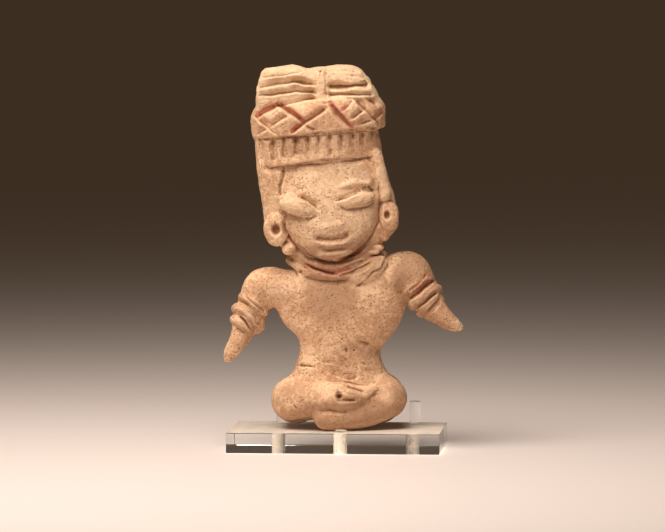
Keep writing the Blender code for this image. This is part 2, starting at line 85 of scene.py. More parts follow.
def head_point(across, depth, up):
    """A point of the rolled head, from its own across, depth and up."""
    roll = Matrix.Rotation(-HEAD_ROLL, 3, "Y")
    return HEAD_PIVOT + roll @ Vector((across, depth, up))


def smooth_curve(points, samples=8):
    """Points along a Catmull-Rom curve through rows of numbers, so that radii can ride along."""
    rows = np.array(points, float)
    ends = np.vstack([2 * rows[0] - rows[1], rows, 2 * rows[-1] - rows[-2]])
    found = []
    for i in range(1, len(ends) - 2):
        a, b, c, d = ends[i - 1 : i + 3]
        for t in np.arange(samples) / samples:
            bend = 2 * a - 5 * b + 4 * c - d
            twist = 3 * b - a - 3 * c + d
            found.append(0.5 * (2 * b + (c - a) * t + bend * t**2 + twist * t**3))
    found.append(rows[-1])
    return np.array(found)


def skin_rings(bm, rings, closed=False):
    """Joins a row of equal rings of points into one lump, capped or closed on itself."""
    made = [[bm.verts.new(p) for p in ring] for ring in rings]
    count = len(made[0])
    pairs = list(zip(made, made[1:])) + ([(made[-1], made[0])] if closed else [])
    for low, high in pairs:
        for i in range(count):
            j = (i + 1) % count
            bm.faces.new((low[i], low[j], high[j], high[i]))
    if not closed:
        bm.faces.new(reversed(made[0]))
        bm.faces.new(made[-1])


def add_ball(bm, centre, radii, turn=None):
    """An ellipsoid pellet."""
    place = Matrix.Translation(Vector(centre))
    if turn is not None:
        place = place @ turn.to_4x4()
    place = place @ Matrix.Diagonal((*radii, 1.0))
    bmesh.ops.create_icosphere(bm, subdivisions=4, radius=1.0, matrix=place)


def add_coil(bm, path, flat=1.0, facing=FRONT, sides=20, closed=False, tip=1.0):
    """A roll of clay along rows of (x, y, z, radius), with round ends.

    flat thins it along facing, and tip is how far its ends bulge, as a share of the radius.
    """
    rows = np.array(path, float)
    centres = [Vector(row[:3]) for row in rows]
    radii = [float(row[3]) for row in rows]
    count = len(rows)
    rings = []
    for i, centre in enumerate(centres):
        before = centres[i - 1] if closed or i > 0 else centre
        after = centres[(i + 1) % count] if closed or i < count - 1 else centre
        along = (after - before).normalized()
        side = along.cross(facing).normalized()
        out = side.cross(along)
        round_off = [(0.0, 1.0)]
        if not closed and i == 0:
            round_off = [(-math.cos(a), math.sin(a)) for a in np.linspace(0.15, math.pi / 2, 6)]
        elif not closed and i == count - 1:
            round_off = [(math.cos(a), math.sin(a)) for a in np.linspace(math.pi / 2, 0.15, 6)]
        for shift, share in round_off:
            rings.append(
                [
                    centre
                    + along * (shift * radii[i] * tip)
                    + (side * math.cos(turn) + out * (flat * math.sin(turn))) * (radii[i] * share)
                    for turn in (math.tau * k / sides for k in range(sides))
                ]
            )
    skin_rings(bm, rings, closed)


def add_loft(bm, levels, place=Vector, sides=48, squareness=2.3):
    """A lump through rounded oval levels of (height, across, depth, half width, half thickness)."""
    rings = []
    for height, across, depth, half_width, half_thickness in smooth_curve(levels, 5):
        ring = []
        for k in range(sides):
            turn = math.tau * k / sides
            c, s = math.cos(turn), math.sin(turn)
            x = across + half_width * math.copysign(abs(c) ** (2 / squareness), c)
            y = depth + half_thickness * math.copysign(abs(s) ** (2 / squareness), s)
            ring.append(place((x, y, height)))
        rings.append(ring)
    skin_rings(bm, rings)


def lay_on_head(bm, rows, **how):
    """A coil through rows of (across, depth, up, radius) on the rolled head."""
    path = smooth_curve(rows) if len(rows) > 2 else rows
    add_coil(bm, [(*head_point(*row[:3]), row[3]) for row in path], **how)


def press_on_head(bm, centre, radii, slant=0.0):
    """A pellet on the rolled head, slanted in the plane of the face."""
    add_ball(bm, head_point(*centre), radii, Matrix.Rotation(slant - HEAD_ROLL, 3, "Y"))


def loft_on_head(bm, levels, **how):
    """A lofted lump that stands along the rolled head."""
    add_loft(bm, levels, place=lambda p: head_point(*p), **how)


def knead(name, bm, voxel, smoothing):
    """Works the lumps of bm into one closed skin, and gives that mesh."""
    bmesh.ops.recalc_face_normals(bm, faces=bm.faces)
    mesh = bpy.data.meshes.new(name)
    bm.to_mesh(mesh)
    bm.free()
    obj = add_object(name, mesh)
    remesh = obj.modifiers.new("knead", "REMESH")
    remesh.mode = "VOXEL"
    remesh.voxel_size = voxel
    smooth = obj.modifiers.new("smooth", "SMOOTH")
    smooth.factor = 0.5
    smooth.iterations = smoothing
    return settle(obj)


def settle(obj):
    """Applies an object's modifiers, and gives the mesh that they make in its place."""
    mesh = obj.data
    graph = bpy.context.evaluated_depsgraph_get()
    settled = bpy.data.meshes.new_from_object(obj.evaluated_get(graph))
    bpy.data.objects.remove(obj)
    bpy.data.meshes.remove(mesh)
    return settled


# Body: lofted masses in rows of (height, across, depth, half width, half thickness), limbs in rows of
# (across, depth, height, radius)

TORSO = [
    (2.0, 0.6, 4.5, 15.5, 9.0),
    (9.0, 0.6, 4.5, 17.6, 10.0),
    (15.0, 0.6, 4.2, 15.6, 9.4),
    (20.0, 0.7, 3.8, 13.4, 8.6),
    (24.0, 0.9, 3.4, 12.7, 8.0),
    (28.0, 2.0, 3.0, 14.6, 7.9),
    (32.0, 1.3, 2.8, 18.0, 8.0),
    (36.5, 1.0, 2.6, 20.0, 8.0),
    (41.5, 0.8, 2.5, 20.6, 7.8),
    (46.0, 0.5, 2.6, 17.6, 7.0),
    (50.0, -0.2, 2.8, 13.0, 6.6),
]
HEAD = [
    (-6.0, 0.2, 2.4, 12.0, 6.4),
    (2.0, -0.4, 2.2, 12.8, 6.8),
    (7.5, -0.6, 2.0, 17.0, 6.6),
    (13.0, -0.6, 2.0, 20.3, 6.8),
    (20.0, -0.8, 2.0, 20.6, 7.6),
    (27.0, -1.8, 2.0, 20.0, 8.2),
    (34.0, -2.6, 2.0, 19.2, 8.8),
    (42.0, -2.4, 2.0, 19.0, 9.2),
    (50.0, -1.8, 2.0, 18.6, 9.2),
]
LEFT_ARM = [
    (-13.0, 2.6, 42.0, 6.3),
    (-22.7, 2.2, 43.4, 6.2),
    (-26.3, 0.6, 38.0, 5.1),
    (-28.4, -0.8, 34.0, 4.4),
    (-29.4, -1.4, 29.6, 3.5),
    (-31.2, -2.2, 26.0, 2.9),
    (-33.2, -2.8, 23.2, 2.3),
    (-34.1, -3.0, 21.8, 1.7),
]
RIGHT_ARM = [
    (12.0, 2.6, 44.8, 6.4),
    (21.8, 2.2, 48.4, 6.4),
    (25.6, 0.6, 43.0, 5.5),
    (28.3, -0.6, 38.8, 4.9),
    (30.9, -1.4, 35.7, 3.9),
    (33.7, -2.2, 33.4, 3.1),
    (36.3, -2.8, 31.9, 2.2),
    (37.8, -3.0, 31.2, 1.4),
]
HIPS = [
    (-12.6, 7.0, 8.2, 7.8),
    (-5.2, 7.4, 8.6, 7.8),
    (6.0, 7.4, 8.8, 7.8),
    (13.4, 7.0, 8.6, 7.8),
]
LEFT_LEG = [
    (-7.6, 6.0, 10.8, 7.4),
    (-13.6, -0.5, 8.9, 7.2),
    (-12.8, -5.4, 8.8, 6.3),
    (-5.2, -9.0, 9.7, 5.0),
    (2.6, -10.4, 9.9, 4.4),
    (7.6, -9.8, 10.9, 3.0),
    (11.0, -9.0, 11.9, 2.0),
]
RIGHT_LEG = [
    (8.6, 6.0, 10.8, 7.4),
    (14.6, 0.0, 9.2, 7.1),
    (14.4, -4.6, 8.2, 6.0),
    (9.0, -7.2, 5.4, 4.9),
    (2.6, -9.8, 3.9, 3.9),
    (-3.9, -11.0, 3.5, 3.6),
]

# The foot and the shin that crosses it, laid on after the body is kneaded so that they stay crisp
RIGHT_FOOT = [
    (7.0, -8.4, 4.8, 4.6),
    (2.6, -10.0, 3.9, 4.0),
    (-3.9, -11.0, 3.5, 3.6),
]
LEFT_SHIN = [
    (-6.0, -8.8, 10.2, 4.7),
    (2.6, -10.3, 10.2, 4.4),
    (7.6, -9.8, 11.0, 3.0),
    (11.0, -9.0, 11.9, 2.0),
]


def model_body():
    """The limbs and masses, kneaded until their joins are soft."""
    bm = bmesh.new()
    add_loft(bm, TORSO)
    loft_on_head(bm, HEAD, squareness=3.4)
    for limb in (LEFT_ARM, RIGHT_ARM, LEFT_LEG, RIGHT_LEG):
        add_coil(bm, smooth_curve(limb))
    for x, y, z, radius in HIPS:
        add_ball(bm, (x, y, z), (radius, radius, radius))
    return knead("body_masses", bm, BODY_VOXEL, BODY_SMOOTHING)


# Clay laid on the head, in the head's own across, depth and up

FACE = [
    (1.2, -0.8, -3.6, 2.6, 2.2),
    (2.6, -0.8, -3.4, 5.2, 3.6),
    (4.4, -0.8, -3.2, 8.0, 4.9),
    (7.2, -0.8, -2.9, 11.3, 5.9),
    (10.6, -0.6, -2.6, 13.4, 6.5),
    (16.5, -0.1, -2.5, 14.6, 6.8),
    (21.0, 0.1, -2.3, 15.2, 6.7),
    (26.0, 0.3, -2.0, 15.1, 6.3),
    (31.0, 0.9, -1.7, 14.9, 5.9),
    (36.0, 0.9, -1.4, 14.6, 5.7),
]
LEFT_EYE = ((-10.3, -8.0, 19.0), (6.2, 2.4, 2.8), math.radians(21.0))
RIGHT_EYE = ((7.9, -8.0, 19.8), (6.2, 2.2, 2.5), math.radians(-10.0))
BROW = [(2.9, -7.9, 24.0, 0.9), (7.1, -7.9, 24.9, 1.3), (12.1, -6.5, 24.2, 1.1)]
LEFT_BROW = ((-12.6, -6.4, 22.0), (3.6, 1.7, 1.7))
RIGHT_TEMPLE = [(14.4, -3.8, 33.0, 2.4), (15.4, -4.2, 27.0, 2.6), (16.6, -4.2, 20.5, 2.7)]
MUZZLE = [
    ((-0.6, -7.6, 12.2), (6.8, 2.0, 2.6)),
    ((1.9, -8.2, 12.8), (2.6, 1.4, 1.9)),
    ((-0.2, -7.2, 15.6), (3.0, 1.5, 4.2)),
]
LOWER_LIP = [
    (-6.4, -6.9, 8.4, 0.9),
    (-3.6, -7.9, 7.2, 1.3),
    (-0.7, -8.2, 6.8, 1.4),
    (2.5, -7.9, 7.2, 1.3),
    (5.1, -7.0, 8.5, 0.9),
]
CHIN = ((-0.5, -6.6, 3.9), (6.0, 2.0, 1.5))
LEFT_SPOOL = [(-17.7, 0.0, 12.6, 5.3), (-17.7, -5.2, 12.6, 5.2)]
RIGHT_SPOOL = [(17.4, 0.0, 13.8, 4.8), (17.5, -5.0, 14.0, 4.5)]
SPOOL_FLAT = (0.74, 0.66)
SPOOL_KNOB = ((-14.2, -3.0, 6.2), (2.6, 2.6, 2.1))
SPOOL_TAIL = [(17.2, -1.4, 11.4, 3.2), (15.6, -1.8, 7.6, 1.6)]
FRINGE = [
    (32.3, -2.4, 1.8, 19.0, 10.2),
    (33.4, -2.5, 1.8, 19.3, 10.6),
    (38.0, -2.6, 1.8, 19.4, 10.9),
    (43.0, -2.6, 1.8, 19.4, 10.9),
]
TURBAN = [
    (40.8, -1.7, 1.8, 18.6, 9.6),
    (41.1, -1.7, 1.8, 20.6, 12.0),
    (44.4, -1.7, 1.8, 21.1, 12.5),
    (47.4, -1.7, 1.8, 21.2, 12.4),
    (49.8, -1.7, 1.8, 20.2, 11.5),
    (51.6, -1.7, 1.8, 18.8, 10.0),
]
LEFT_LOBE = [
    (46.0, -10.0, 2.0, 10.8, 9.6),
    (52.0, -10.0, 2.0, 10.8, 9.6),
    (56.0, -10.0, 2.0, 10.2, 9.4),
    (59.0, -10.4, 2.0, 8.9, 8.8),
    (61.4, -11.4, 2.0, 7.0, 7.2),
    (62.7, -12.6, 2.0, 4.2, 4.0),
]
PARTING = [
    (46.0, 0.4, 2.0, 4.6, 9.2),
    (56.0, 0.2, 2.0, 4.4, 9.0),
    (59.8, -0.2, 2.0, 4.0, 8.0),
    (61.3, -0.6, 2.0, 3.2, 6.4),
]
RIGHT_LOBE = [
    (46.0, 8.6, 2.0, 9.8, 9.6),
    (51.5, 8.5, 2.0, 8.9, 9.6),
    (56.0, 7.6, 2.0, 7.8, 9.2),
    (59.4, 6.6, 2.0, 6.4, 8.2),
    (61.0, 5.6, 2.0, 4.8, 5.8),
    (61.6, 5.2, 2.0, 3.0, 3.6),
]


def lay_face(bm):
    """The face plate with its coffee-bean eyes, one brow, the broad nose, the lower lip and the chin."""
    loft_on_head(bm, FACE, squareness=2.5)
    press_on_head(bm, *LEFT_EYE)
    press_on_head(bm, *RIGHT_EYE)
    press_on_head(bm, *LEFT_BROW)
    lay_on_head(bm, BROW)
    lay_on_head(bm, RIGHT_TEMPLE)
    for pellet in MUZZLE:
        press_on_head(bm, *pellet)
    lay_on_head(bm, LOWER_LIP)
    press_on_head(bm, *CHIN)


def lay_ear_spools(bm):
    """A thick disc over each ear lobe, the pellet under the left one and the tail of the right one."""
    for rows, flat in zip((LEFT_SPOOL, RIGHT_SPOOL), SPOOL_FLAT):
        lay_on_head(bm, rows, flat=flat, facing=Vector((1.0, 0.0, 0.0)), tip=0.22, sides=40)
    press_on_head(bm, *SPOOL_KNOB)
    lay_on_head(bm, SPOOL_TAIL)


def lay_turban(bm):
    """The band of locks, the wound cloth above it, and the hair on top."""
    loft_on_head(bm, FRINGE, squareness=2.6)
    loft_on_head(bm, TURBAN, squareness=2.4)
    loft_on_head(bm, LEFT_LOBE, squareness=2.8)
    loft_on_head(bm, PARTING)
    loft_on_head(bm, RIGHT_LOBE, squareness=2.8)


# Clay laid on the body. A strand of the collar: height at the sides, slope, sag at the front, half
# width, half depth, radius. A strand of an armband: centre, half width, radius

COLLAR = [
    (55.6, 0.06, 5.4, 13.4, 6.8, 1.3),
    (52.8, 0.06, 5.2, 14.6, 6.4, 1.4),
]
COLLAR_MIDDLE = (-0.4, 2.2)
COLLAR_FLAP = ((9.0, -3.5, 48.9), (6.8, 2.4, 3.2), math.radians(-32.0))
COLLAR_TAILS = [
    ((11.2, -3.9, 54.7), (1.7, 0.8, 0.7)),
    ((12.5, -3.0, 56.0), (1.6, 0.8, 0.7)),
]
LEFT_ARMBAND = [
    ((-26.3, 0.3, 38.0), 4.1, 1.5),
    ((-28.4, -0.5, 34.8), 4.0, 1.6),
    ((-29.6, -1.2, 31.9), 3.1, 1.4),
]
LEFT_ARMBAND_WAY = (-0.59, -0.2, -0.81)
LEFT_ARMBAND_FOLD = ((-25.2, -0.2, 32.6), (2.9, 3.4, 3.6))
RIGHT_ARMBAND = [
    ((24.9, 0.6, 43.8), 4.4, 1.4),
    ((27.2, 0.0, 40.4), 4.3, 1.6),
    ((28.9, -0.6, 37.5), 3.5, 1.4),
]
RIGHT_ARMBAND_WAY = (0.55, -0.2, -0.84)


def lay_collar(bm):
    """The strands of the collar, tight under the chin and sagging at the front, and its tucked-in ends."""
    for height, slope, sag, half_width, half_depth, radius in COLLAR:
        rows = []
        for k in range(72):
            turn = math.tau * k / 72
            x = COLLAR_MIDDLE[0] + half_width * math.cos(turn)
            y = COLLAR_MIDDLE[1] + half_depth * math.sin(turn)
            front = max(0.0, -math.sin(turn))
            rows.append((x, y, height + slope * x - sag * front**2, radius))
        add_coil(bm, rows, facing=Vector((0.0, 0.0, 1.0)), sides=16, closed=True)
    for centre, radii in COLLAR_TAILS:
        add_ball(bm, centre, radii)
    centre, radii, slant = COLLAR_FLAP
    add_ball(bm, centre, radii, Matrix.Rotation(slant, 3, "Y"))


def lay_armband(bm, strands, way):
    """Strands side by side round an upper arm."""
    along = Vector(way).normalized()
    across = along.cross(Vector((0.0, 1.0, 0.0))).normalized()
    over = across.cross(along)
    for centre, half, radius in strands:
        rows = []
        for k in range(48):
            turn = math.tau * k / 48
            out = across * math.cos(turn) + over * math.sin(turn)
            rows.append((*(Vector(centre) + out * half), radius))
        add_coil(bm, rows, facing=along, sides=16, closed=True)


def model_skin():
    """The whole figurine as one dense skin, before it is tooled."""
    bm = bmesh.new()
    body = model_body()
    bm.from_mesh(body)
    bpy.data.meshes.remove(body)
    add_coil(bm, smooth_curve(RIGHT_FOOT), tip=0.7)
    add_coil(bm, smooth_curve(LEFT_SHIN))
    lay_face(bm)
    lay_ear_spools(bm)
    lay_turban(bm)
    lay_collar(bm)
    lay_armband(bm, LEFT_ARMBAND, LEFT_ARMBAND_WAY)
    add_ball(bm, *LEFT_ARMBAND_FOLD)
    lay_armband(bm, RIGHT_ARMBAND, RIGHT_ARMBAND_WAY)
    return knead("figurine_clay", bm, SKIN_VOXEL, SKIN_SMOOTHING)


# Tool marks. Each stroke: its points, how far it reaches to its left and to its right as drawn, its
# depth, and the height of the burr on its steeper side. A short reach is a wall, a long one a slope,
# and on a stroke drawn from left to right its left is up. Two equal reaches make a round groove.
# Strokes on the head are in its across and up, the others in across and height.

HAIR_STROKES = [
    ([(-18.8, 59.9), (-13.2, 60.2), (-9.4, 60.3), (-4.6, 60.9)], 3.0, 0.4, 1.4, 0.3),
    (
        [(-20.2, 56.6), (-16.0, 57.0), (-11.9, 57.2), (-8.7, 57.5), (-5.6, 57.0), (-1.9, 56.3)],
        *(2.4, 0.4, 1.8, 0.4),
    ),
    (
        [(-19.6, 54.5), (-14.3, 54.2), (-11.2, 54.5), (-8.0, 54.7), (-5.3, 54.2), (-1.8, 53.5)],
        *(1.8, 0.4, 1.6, 0.4),
    ),
    ([(-12.2, 50.8), (-7.7, 51.6), (-1.6, 51.8)], 1.5, 0.4, 1.1, 0.2),
    ([(-19.4, 60.1), (-18.0, 58.9)], 0.6, 0.4, 0.8, 0.1),
    ([(2.3, 60.5), (7.2, 59.9), (11.6, 59.0)], 1.5, 0.5, 1.0, 0.2),
    ([(8.8, 58.2), (11.6, 57.7), (14.6, 56.5)], 1.2, 0.4, 0.6, 0.2),
    ([(2.0, 55.7), (6.8, 55.4), (10.8, 55.2), (14.9, 54.8)], 1.6, 1.55, 2.6, 0.3),
    ([(1.8, 52.6), (6.5, 52.3), (11.2, 51.9), (15.8, 51.5)], 1.7, 0.4, 1.2, 0.3),
    ([(-1.2, 61.0), (-1.5, 57.0), (-2.0, 52.4)], 0.6, 0.6, 0.35, 0.1),
    ([(1.9, 60.6), (1.5, 57.2), (1.0, 51.6)], 0.6, 0.6, 0.4, 0.1),
    ([(-0.6, 60.8), (0.3, 60.0), (1.2, 60.8)], 0.5, 0.5, 1.1, 0.1),
    ([(-0.5, 50.6), (1.1, 50.4), (2.3, 50.8)], 0.9, 0.3, 0.8, 0.1),
]
TURBAN_STROKES = [
    ([(-20.6, 47.9), (-17.3, 49.4), (-13.9, 50.9)], 2.1, 0.55, 1.9, 0.1),
    ([(-16.8, 44.5), (-13.5, 46.5), (-10.6, 48.2)], 1.8, 0.55, 1.2, 0.1),
    ([(-10.1, 42.5), (-6.2, 44.8), (1.2, 48.8)], 2.2, 0.55, 1.9, 0.1),
    ([(-13.9, 51.4), (-10.2, 48.6), (-6.4, 45.4)], 2.0, 0.8, 1.9, 0.1),
    ([(2.3, 50.4), (4.5, 47.3), (8.4, 42.2)], 1.1, 1.4, 1.8, 0.1),
    ([(5.8, 47.5), (9.7, 50.6)], 1.5, 0.55, 0.9, 0.1),
    ([(8.2, 44.8), (12.6, 47.5)], 1.6, 0.55, 1.2, 0.1),
    ([(10.5, 42.8), (15.3, 43.9)], 1.4, 0.55, 0.7, 0.1),
    ([(10.3, 50.5), (14.0, 45.9), (17.3, 41.6)], 2.0, 0.55, 1.4, 0.15),
    ([(14.1, 50.5), (15.5, 49.3), (16.5, 47.8)], 1.2, 0.6, 1.1, 0.0),
    ([(15.7, 44.1), (17.3, 45.3), (19.0, 46.4)], 1.5, 0.55, 0.9, 0.1),
    ([(-6.2, 44.7), (-4.5, 43.3), (-2.7, 42.3)], 0.55, 1.2, 0.7, 0.1),
    ([(-21.8, 49.2), (-20.0, 46.8), (-17.2, 44.3)], 2.0, 0.55, 1.8, 0.15),
    ([(-21.4, 42.0), (-17.7, 44.2)], 1.7, 0.55, 1.2, 0.15),
    ([(-17.7, 44.2), (-14.6, 41.9)], 1.5, 0.55, 0.9, 0.15),
    ([(-21.9, 41.0), (-14.0, 41.3), (0.0, 41.6), (8.0, 41.7), (16.6, 41.8)], 0.35, 1.2, 0.9, 0.1),
]

# The grooves between the locks: across, the height they reach down to, depth
LOCKS = [
    (-20.0, 33.6, 1.3),
    (-16.2, 33.6, 1.3),
    (-12.9, 34.0, 1.2),
    (-9.2, 34.6, 0.9),
    (-5.4, 35.4, 0.6),
    (-2.1, 35.0, 0.6),
    (1.4, 33.8, 0.7),
    (4.9, 34.4, 0.7),
    (8.6, 35.0, 0.6),
    (11.6, 35.4, 0.6),
    (14.6, 36.0, 0.5),
]
LOCK_TOP = 41.0
LOCK_LEAN = -0.035
LOCK_REACH = (1.7, 1.3)
LOCK_GAP = (0.9, 0.8, 0.6, 0.0)
LOCK_GAP_FOOT = 38.4
LOCK_GAP_SHIFT = 0.1

FACE_STROKES = [
    (
        [(-19.4, 33.0), (-17.9, 31.8), (-11.4, 32.3), (-5.4, 33.0), (1.4, 33.0), (9.4, 32.4), (14.4, 32.6)],
        *(0.3, 1.8, 0.7, 0.0),
    ),
    ([(-13.3, 31.5), (-13.8, 29.1), (-15.0, 25.8), (-15.1, 22.4)], 0.35, 1.0, 1.0, 0.0),
    (
        [(-14.7, 15.1), (-14.3, 11.1), (-12.4, 7.9), (-8.6, 5.0), (-5.0, 2.5), (-0.5, 1.4)],
        *(0.35, 1.1, 1.2, 0.0),
    ),
    ([(14.3, 31.6), (14.4, 27.9), (14.4, 24.2)], 0.6, 0.6, 0.25, 0.0),
    ([(15.0, 24.0), (15.1, 17.6), (14.2, 12.5), (12.1, 8.8), (9.7, 6.2)], 1.1, 0.5, 0.9, 0.0),
    ([(-0.5, 1.4), (2.2, 2.2), (6.4, 3.7), (9.7, 6.2)], 0.35, 1.2, 1.0, 0.0),
    ([(12.2, 23.4), (13.2, 21.4)], 0.55, 0.55, 1.0, 0.0),
    ([(-9.8, 21.9), (-6.9, 20.4), (-4.0, 17.9)], 1.9, 0.5, 1.4, 0.35),
    ([(-14.3, 21.2), (-12.0, 22.3)], 0.9, 0.3, 0.3, 0.15),
    ([(-16.0, 18.6), (-13.5, 17.2), (-9.2, 16.0), (-6.7, 15.5), (-4.8, 16.6)], 0.35, 1.6, 0.5, 0.0),
    ([(1.6, 20.0), (5.0, 20.7), (8.9, 22.2)], 1.7, 0.5, 1.3, 0.35),
    ([(2.3, 18.6), (4.7, 17.1), (8.2, 17.2), (11.4, 17.7), (13.6, 18.5)], 0.35, 1.5, 0.5, 0.0),
    ([(-12.0, 26.2), (-10.1, 25.3), (-8.4, 24.8), (-7.4, 25.5)], 0.3, 0.3, 0.35, 0.1),
    ([(-10.7, 27.0), (-8.0, 25.8)], 0.3, 0.3, 0.3, 0.1),
    ([(-6.0, 9.6), (-4.2, 8.8), (-1.2, 8.2), (2.2, 8.3), (5.1, 9.7)], 1.3, 1.3, 1.15, 0.0),
    ([(-5.9, 5.6), (-2.3, 5.0), (2.6, 5.1), (6.2, 6.3)], 1.0, 0.9, 0.35, 0.0),
    ([(-20.6, 15.6), (-17.4, 17.9), (-14.8, 16.4)], 0.8, 0.4, 0.35, 0.0),
    ([(14.8, 17.6), (17.4, 18.5), (20.0, 17.9)], 0.8, 0.35, 0.5, 0.0),
]

# A hole in a spool: middle, half sizes, depth
SPOOL_HOLES = [((-17.8, 12.6), (1.35, 1.75), 2.2), ((16.9, 14.1), (0.9, 1.3), 1.7)]

COLLAR_STROKES = [
    (
        [(-13.4, 56.7), (-11.3, 55.1), (-8.4, 52.9), (-5.9, 52.3), (-2.8, 51.9), (-0.3, 52.0)],
        *(0.5, 1.1, 0.8, 0.0),
    ),
    ([(-10.0, 51.4), (-8.4, 50.5), (-6.6, 49.5), (-4.1, 48.6), (-0.3, 48.3)], 0.7, 0.65, 1.05, 0.25),
    ([(0.3, 53.1), (2.2, 53.3), (4.1, 53.7), (6.6, 54.5)], 0.6, 0.65, 1.05, 0.0),
    ([(0.9, 47.6), (4.1, 48.9), (7.2, 50.1), (10.6, 52.0)], 0.35, 1.2, 0.6, 0.2),
    ([(1.9, 49.8), (5.3, 51.4), (8.4, 52.3)], 0.5, 1.1, 0.6, 0.15),
    (
        [(15.3, 54.5), (14.7, 52.3), (13.8, 50.1), (10.9, 48.9), (8.7, 46.1), (5.6, 43.9)],
        *(1.3, 0.4, 0.7, 0.2),
    ),
    ([(-17.2, 52.3), (-15.3, 51.1), (-13.4, 48.9), (-12.2, 46.7)], 0.3, 1.3, 0.7, 0.15),
    ([(-11.8, 49.0), (-11.4, 48.2)], 0.7, 0.7, 1.5, 0.0),
    ([(-11.7, 49.8), (-8.6, 49.9)], 0.7, 0.3, 0.4, 0.2),
    ([(-10.8, 47.6), (-7.0, 46.2), (-2.4, 45.6), (3.2, 45.9)], 0.35, 1.6, 0.5, 0.0),
]
ARMBAND_STROKES = [
    ([(-28.8, 41.4), (-26.6, 39.2), (-24.1, 37.4), (-22.5, 35.5)], 1.0, 0.35, 0.8, 0.3),
    ([(-31.9, 39.9), (-29.1, 39.2), (-27.2, 37.7)], 1.4, 0.6, 1.0, 0.2),
    ([(-31.9, 36.4), (-30.0, 35.8), (-28.4, 34.6)], 1.0, 0.7, 0.9, 0.15),
    ([(-27.2, 36.1), (-25.5, 34.3), (-24.1, 31.8)], 1.5, 0.6, 1.0, 0.2),
    ([(-30.6, 35.2), (-28.8, 33.0), (-26.6, 30.5)], 0.5, 0.5, 1.5, 0.2),
    ([(-32.7, 33.3), (-31.0, 31.1), (-28.4, 29.9)], 0.3, 1.3, 0.6, 0.0),
    ([(21.9, 42.3), (24.1, 44.1), (26.3, 45.8), (27.8, 48.0)], 0.9, 0.35, 0.6, 0.3),
    (
        [(21.9, 39.5), (23.1, 40.5), (24.7, 41.7), (26.3, 43.3), (28.4, 44.7), (30.3, 45.8)],
        *(1.3, 0.45, 1.3, 0.3),
    ),
    ([(29.2, 45.0), (30.4, 45.8)], 0.8, 0.8, 0.9, 0.0),
    ([(24.1, 37.1), (25.6, 38.0), (27.5, 39.2), (29.4, 41.1), (31.3, 42.7)], 1.4, 0.45, 1.3, 0.3),
    ([(27.5, 36.1), (30.3, 39.2), (31.9, 41.4)], 0.35, 1.3, 0.6, 0.0),
]
LAP_STROKES = [
    ([(2.2, 13.5), (5.2, 12.8), (8.2, 12.0)], 1.2, 0.7, 1.9, 0.25),
    ([(0.4, 11.9), (0.7, 9.6)], 1.15, 0.95, 2.3, 0.0),
    ([(0.6, 9.5), (3.5, 9.3), (5.8, 9.7)], 1.7, 0.45, 1.2, 0.3),
    ([(8.3, 9.0), (10.0, 10.2), (12.1, 12.0)], 0.6, 0.9, 0.45, 0.2),
    ([(-6.0, 6.2), (-2.8, 6.4), (0.3, 5.8), (3.4, 5.6)], 0.5, 0.8, 0.4, 0.0),
    ([(-14.1, 8.5), (-12.3, 6.6)], 0.5, 0.5, 0.5, 0.1),
    ([(-12.6, 19.2), (-10.9, 19.3), (-7.4, 18.9)], 0.7, 0.55, 1.3, 0.15),
    ([(-10.8, 23.1), (-8.6, 22.5), (-6.4, 22.8)], 0.5, 0.9, 0.25, 0.1),
    ([(-6.1, 21.2), (-3.9, 20.6), (-1.5, 20.3)], 0.8, 0.5, 0.35, 0.2),
    ([(-2.4, 17.4), (1.3, 15.8), (3.8, 15.2), (6.4, 16.0)], 2.4, 0.6, 0.5, 0.1),
    ([(2.3, 25.0), (2.9, 23.4)], 0.7, 0.7, 0.7, 0.0),
    ([(5.2, 24.4), (5.2, 24.0)], 0.5, 0.5, 0.9, 0.0),
    ([(1.3, 28.0), (1.4, 27.6)], 0.6, 0.6, 0.6, 0.0),
    ([(6.3, 27.5), (8.8, 26.5), (10.3, 25.6)], 0.6, 1.3, 0.5, 0.1),
    ([(1.6, 22.2), (3.2, 20.9)], 0.4, 0.7, 0.3, 0.1),
    ([(6.9, 20.3), (9.1, 19.7)], 0.4, 0.7, 0.3, 0.1),
    ([(13.1, 16.6), (15.0, 16.9)], 0.45, 0.45, 0.4, 0.1),
    ([(-12.0, 27.8), (-11.7, 25.6)], 0.6, 0.6, 0.4, 0.0),
]

# Pigment left on the clay, and painted light on the face: the line brushed along, its half width, how much
# is left
RED_ON_HEAD = [
    ([(-20.4, 48.5), (-17.3, 50.0), (-13.9, 51.4)], 0.62, 0.75),
    ([(-13.7, 51.5), (-10.0, 48.9), (-6.4, 45.8)], 0.68, 0.9),
    ([(-10.1, 42.9), (-6.2, 45.2)], 0.68, 0.95),
    ([(-6.2, 45.3), (1.2, 49.3)], 0.7, 0.5),
    ([(2.3, 50.8), (4.5, 47.5), (8.4, 42.6)], 0.66, 0.85),
    ([(5.8, 47.9), (7.4, 49.1)], 0.7, 0.6),
    ([(15.7, 44.5), (17.3, 45.7), (19.0, 46.8)], 0.9, 0.6),
]
RED_ON_BODY = [
    ([(-9.8, 50.8), (-4.3, 48.6), (-0.8, 48.1), (3.0, 49.4)], 1.3, 0.6),
    ([(1.0, 52.7), (7.5, 54.9)], 0.8, 0.7),
    ([(24.6, 43.2), (28.4, 46.0), (30.4, 46.4)], 1.8, 0.5),
    ([(27.0, 41.6), (29.5, 42.8)], 1.0, 0.3),
]
RED_WASH = 0.34
WASH_BAND = (41.4, 51.6)
WASH_EDGES = (1.0, 1.5)
# Painted light: the lit brow, the right temple under the turban, and the upward-facing face made paler
PAINTED_LIGHT_ON_FACE = [
    ([(3.4, 25.4), (10.8, 24.6)], 2.4, 1.0),
    ([(17.4, 28.0), (17.0, 21.0)], 2.4, 0.9),
    ([(-8.0, 20.0), (8.0, 20.0)], 12.0, 0.6),
]
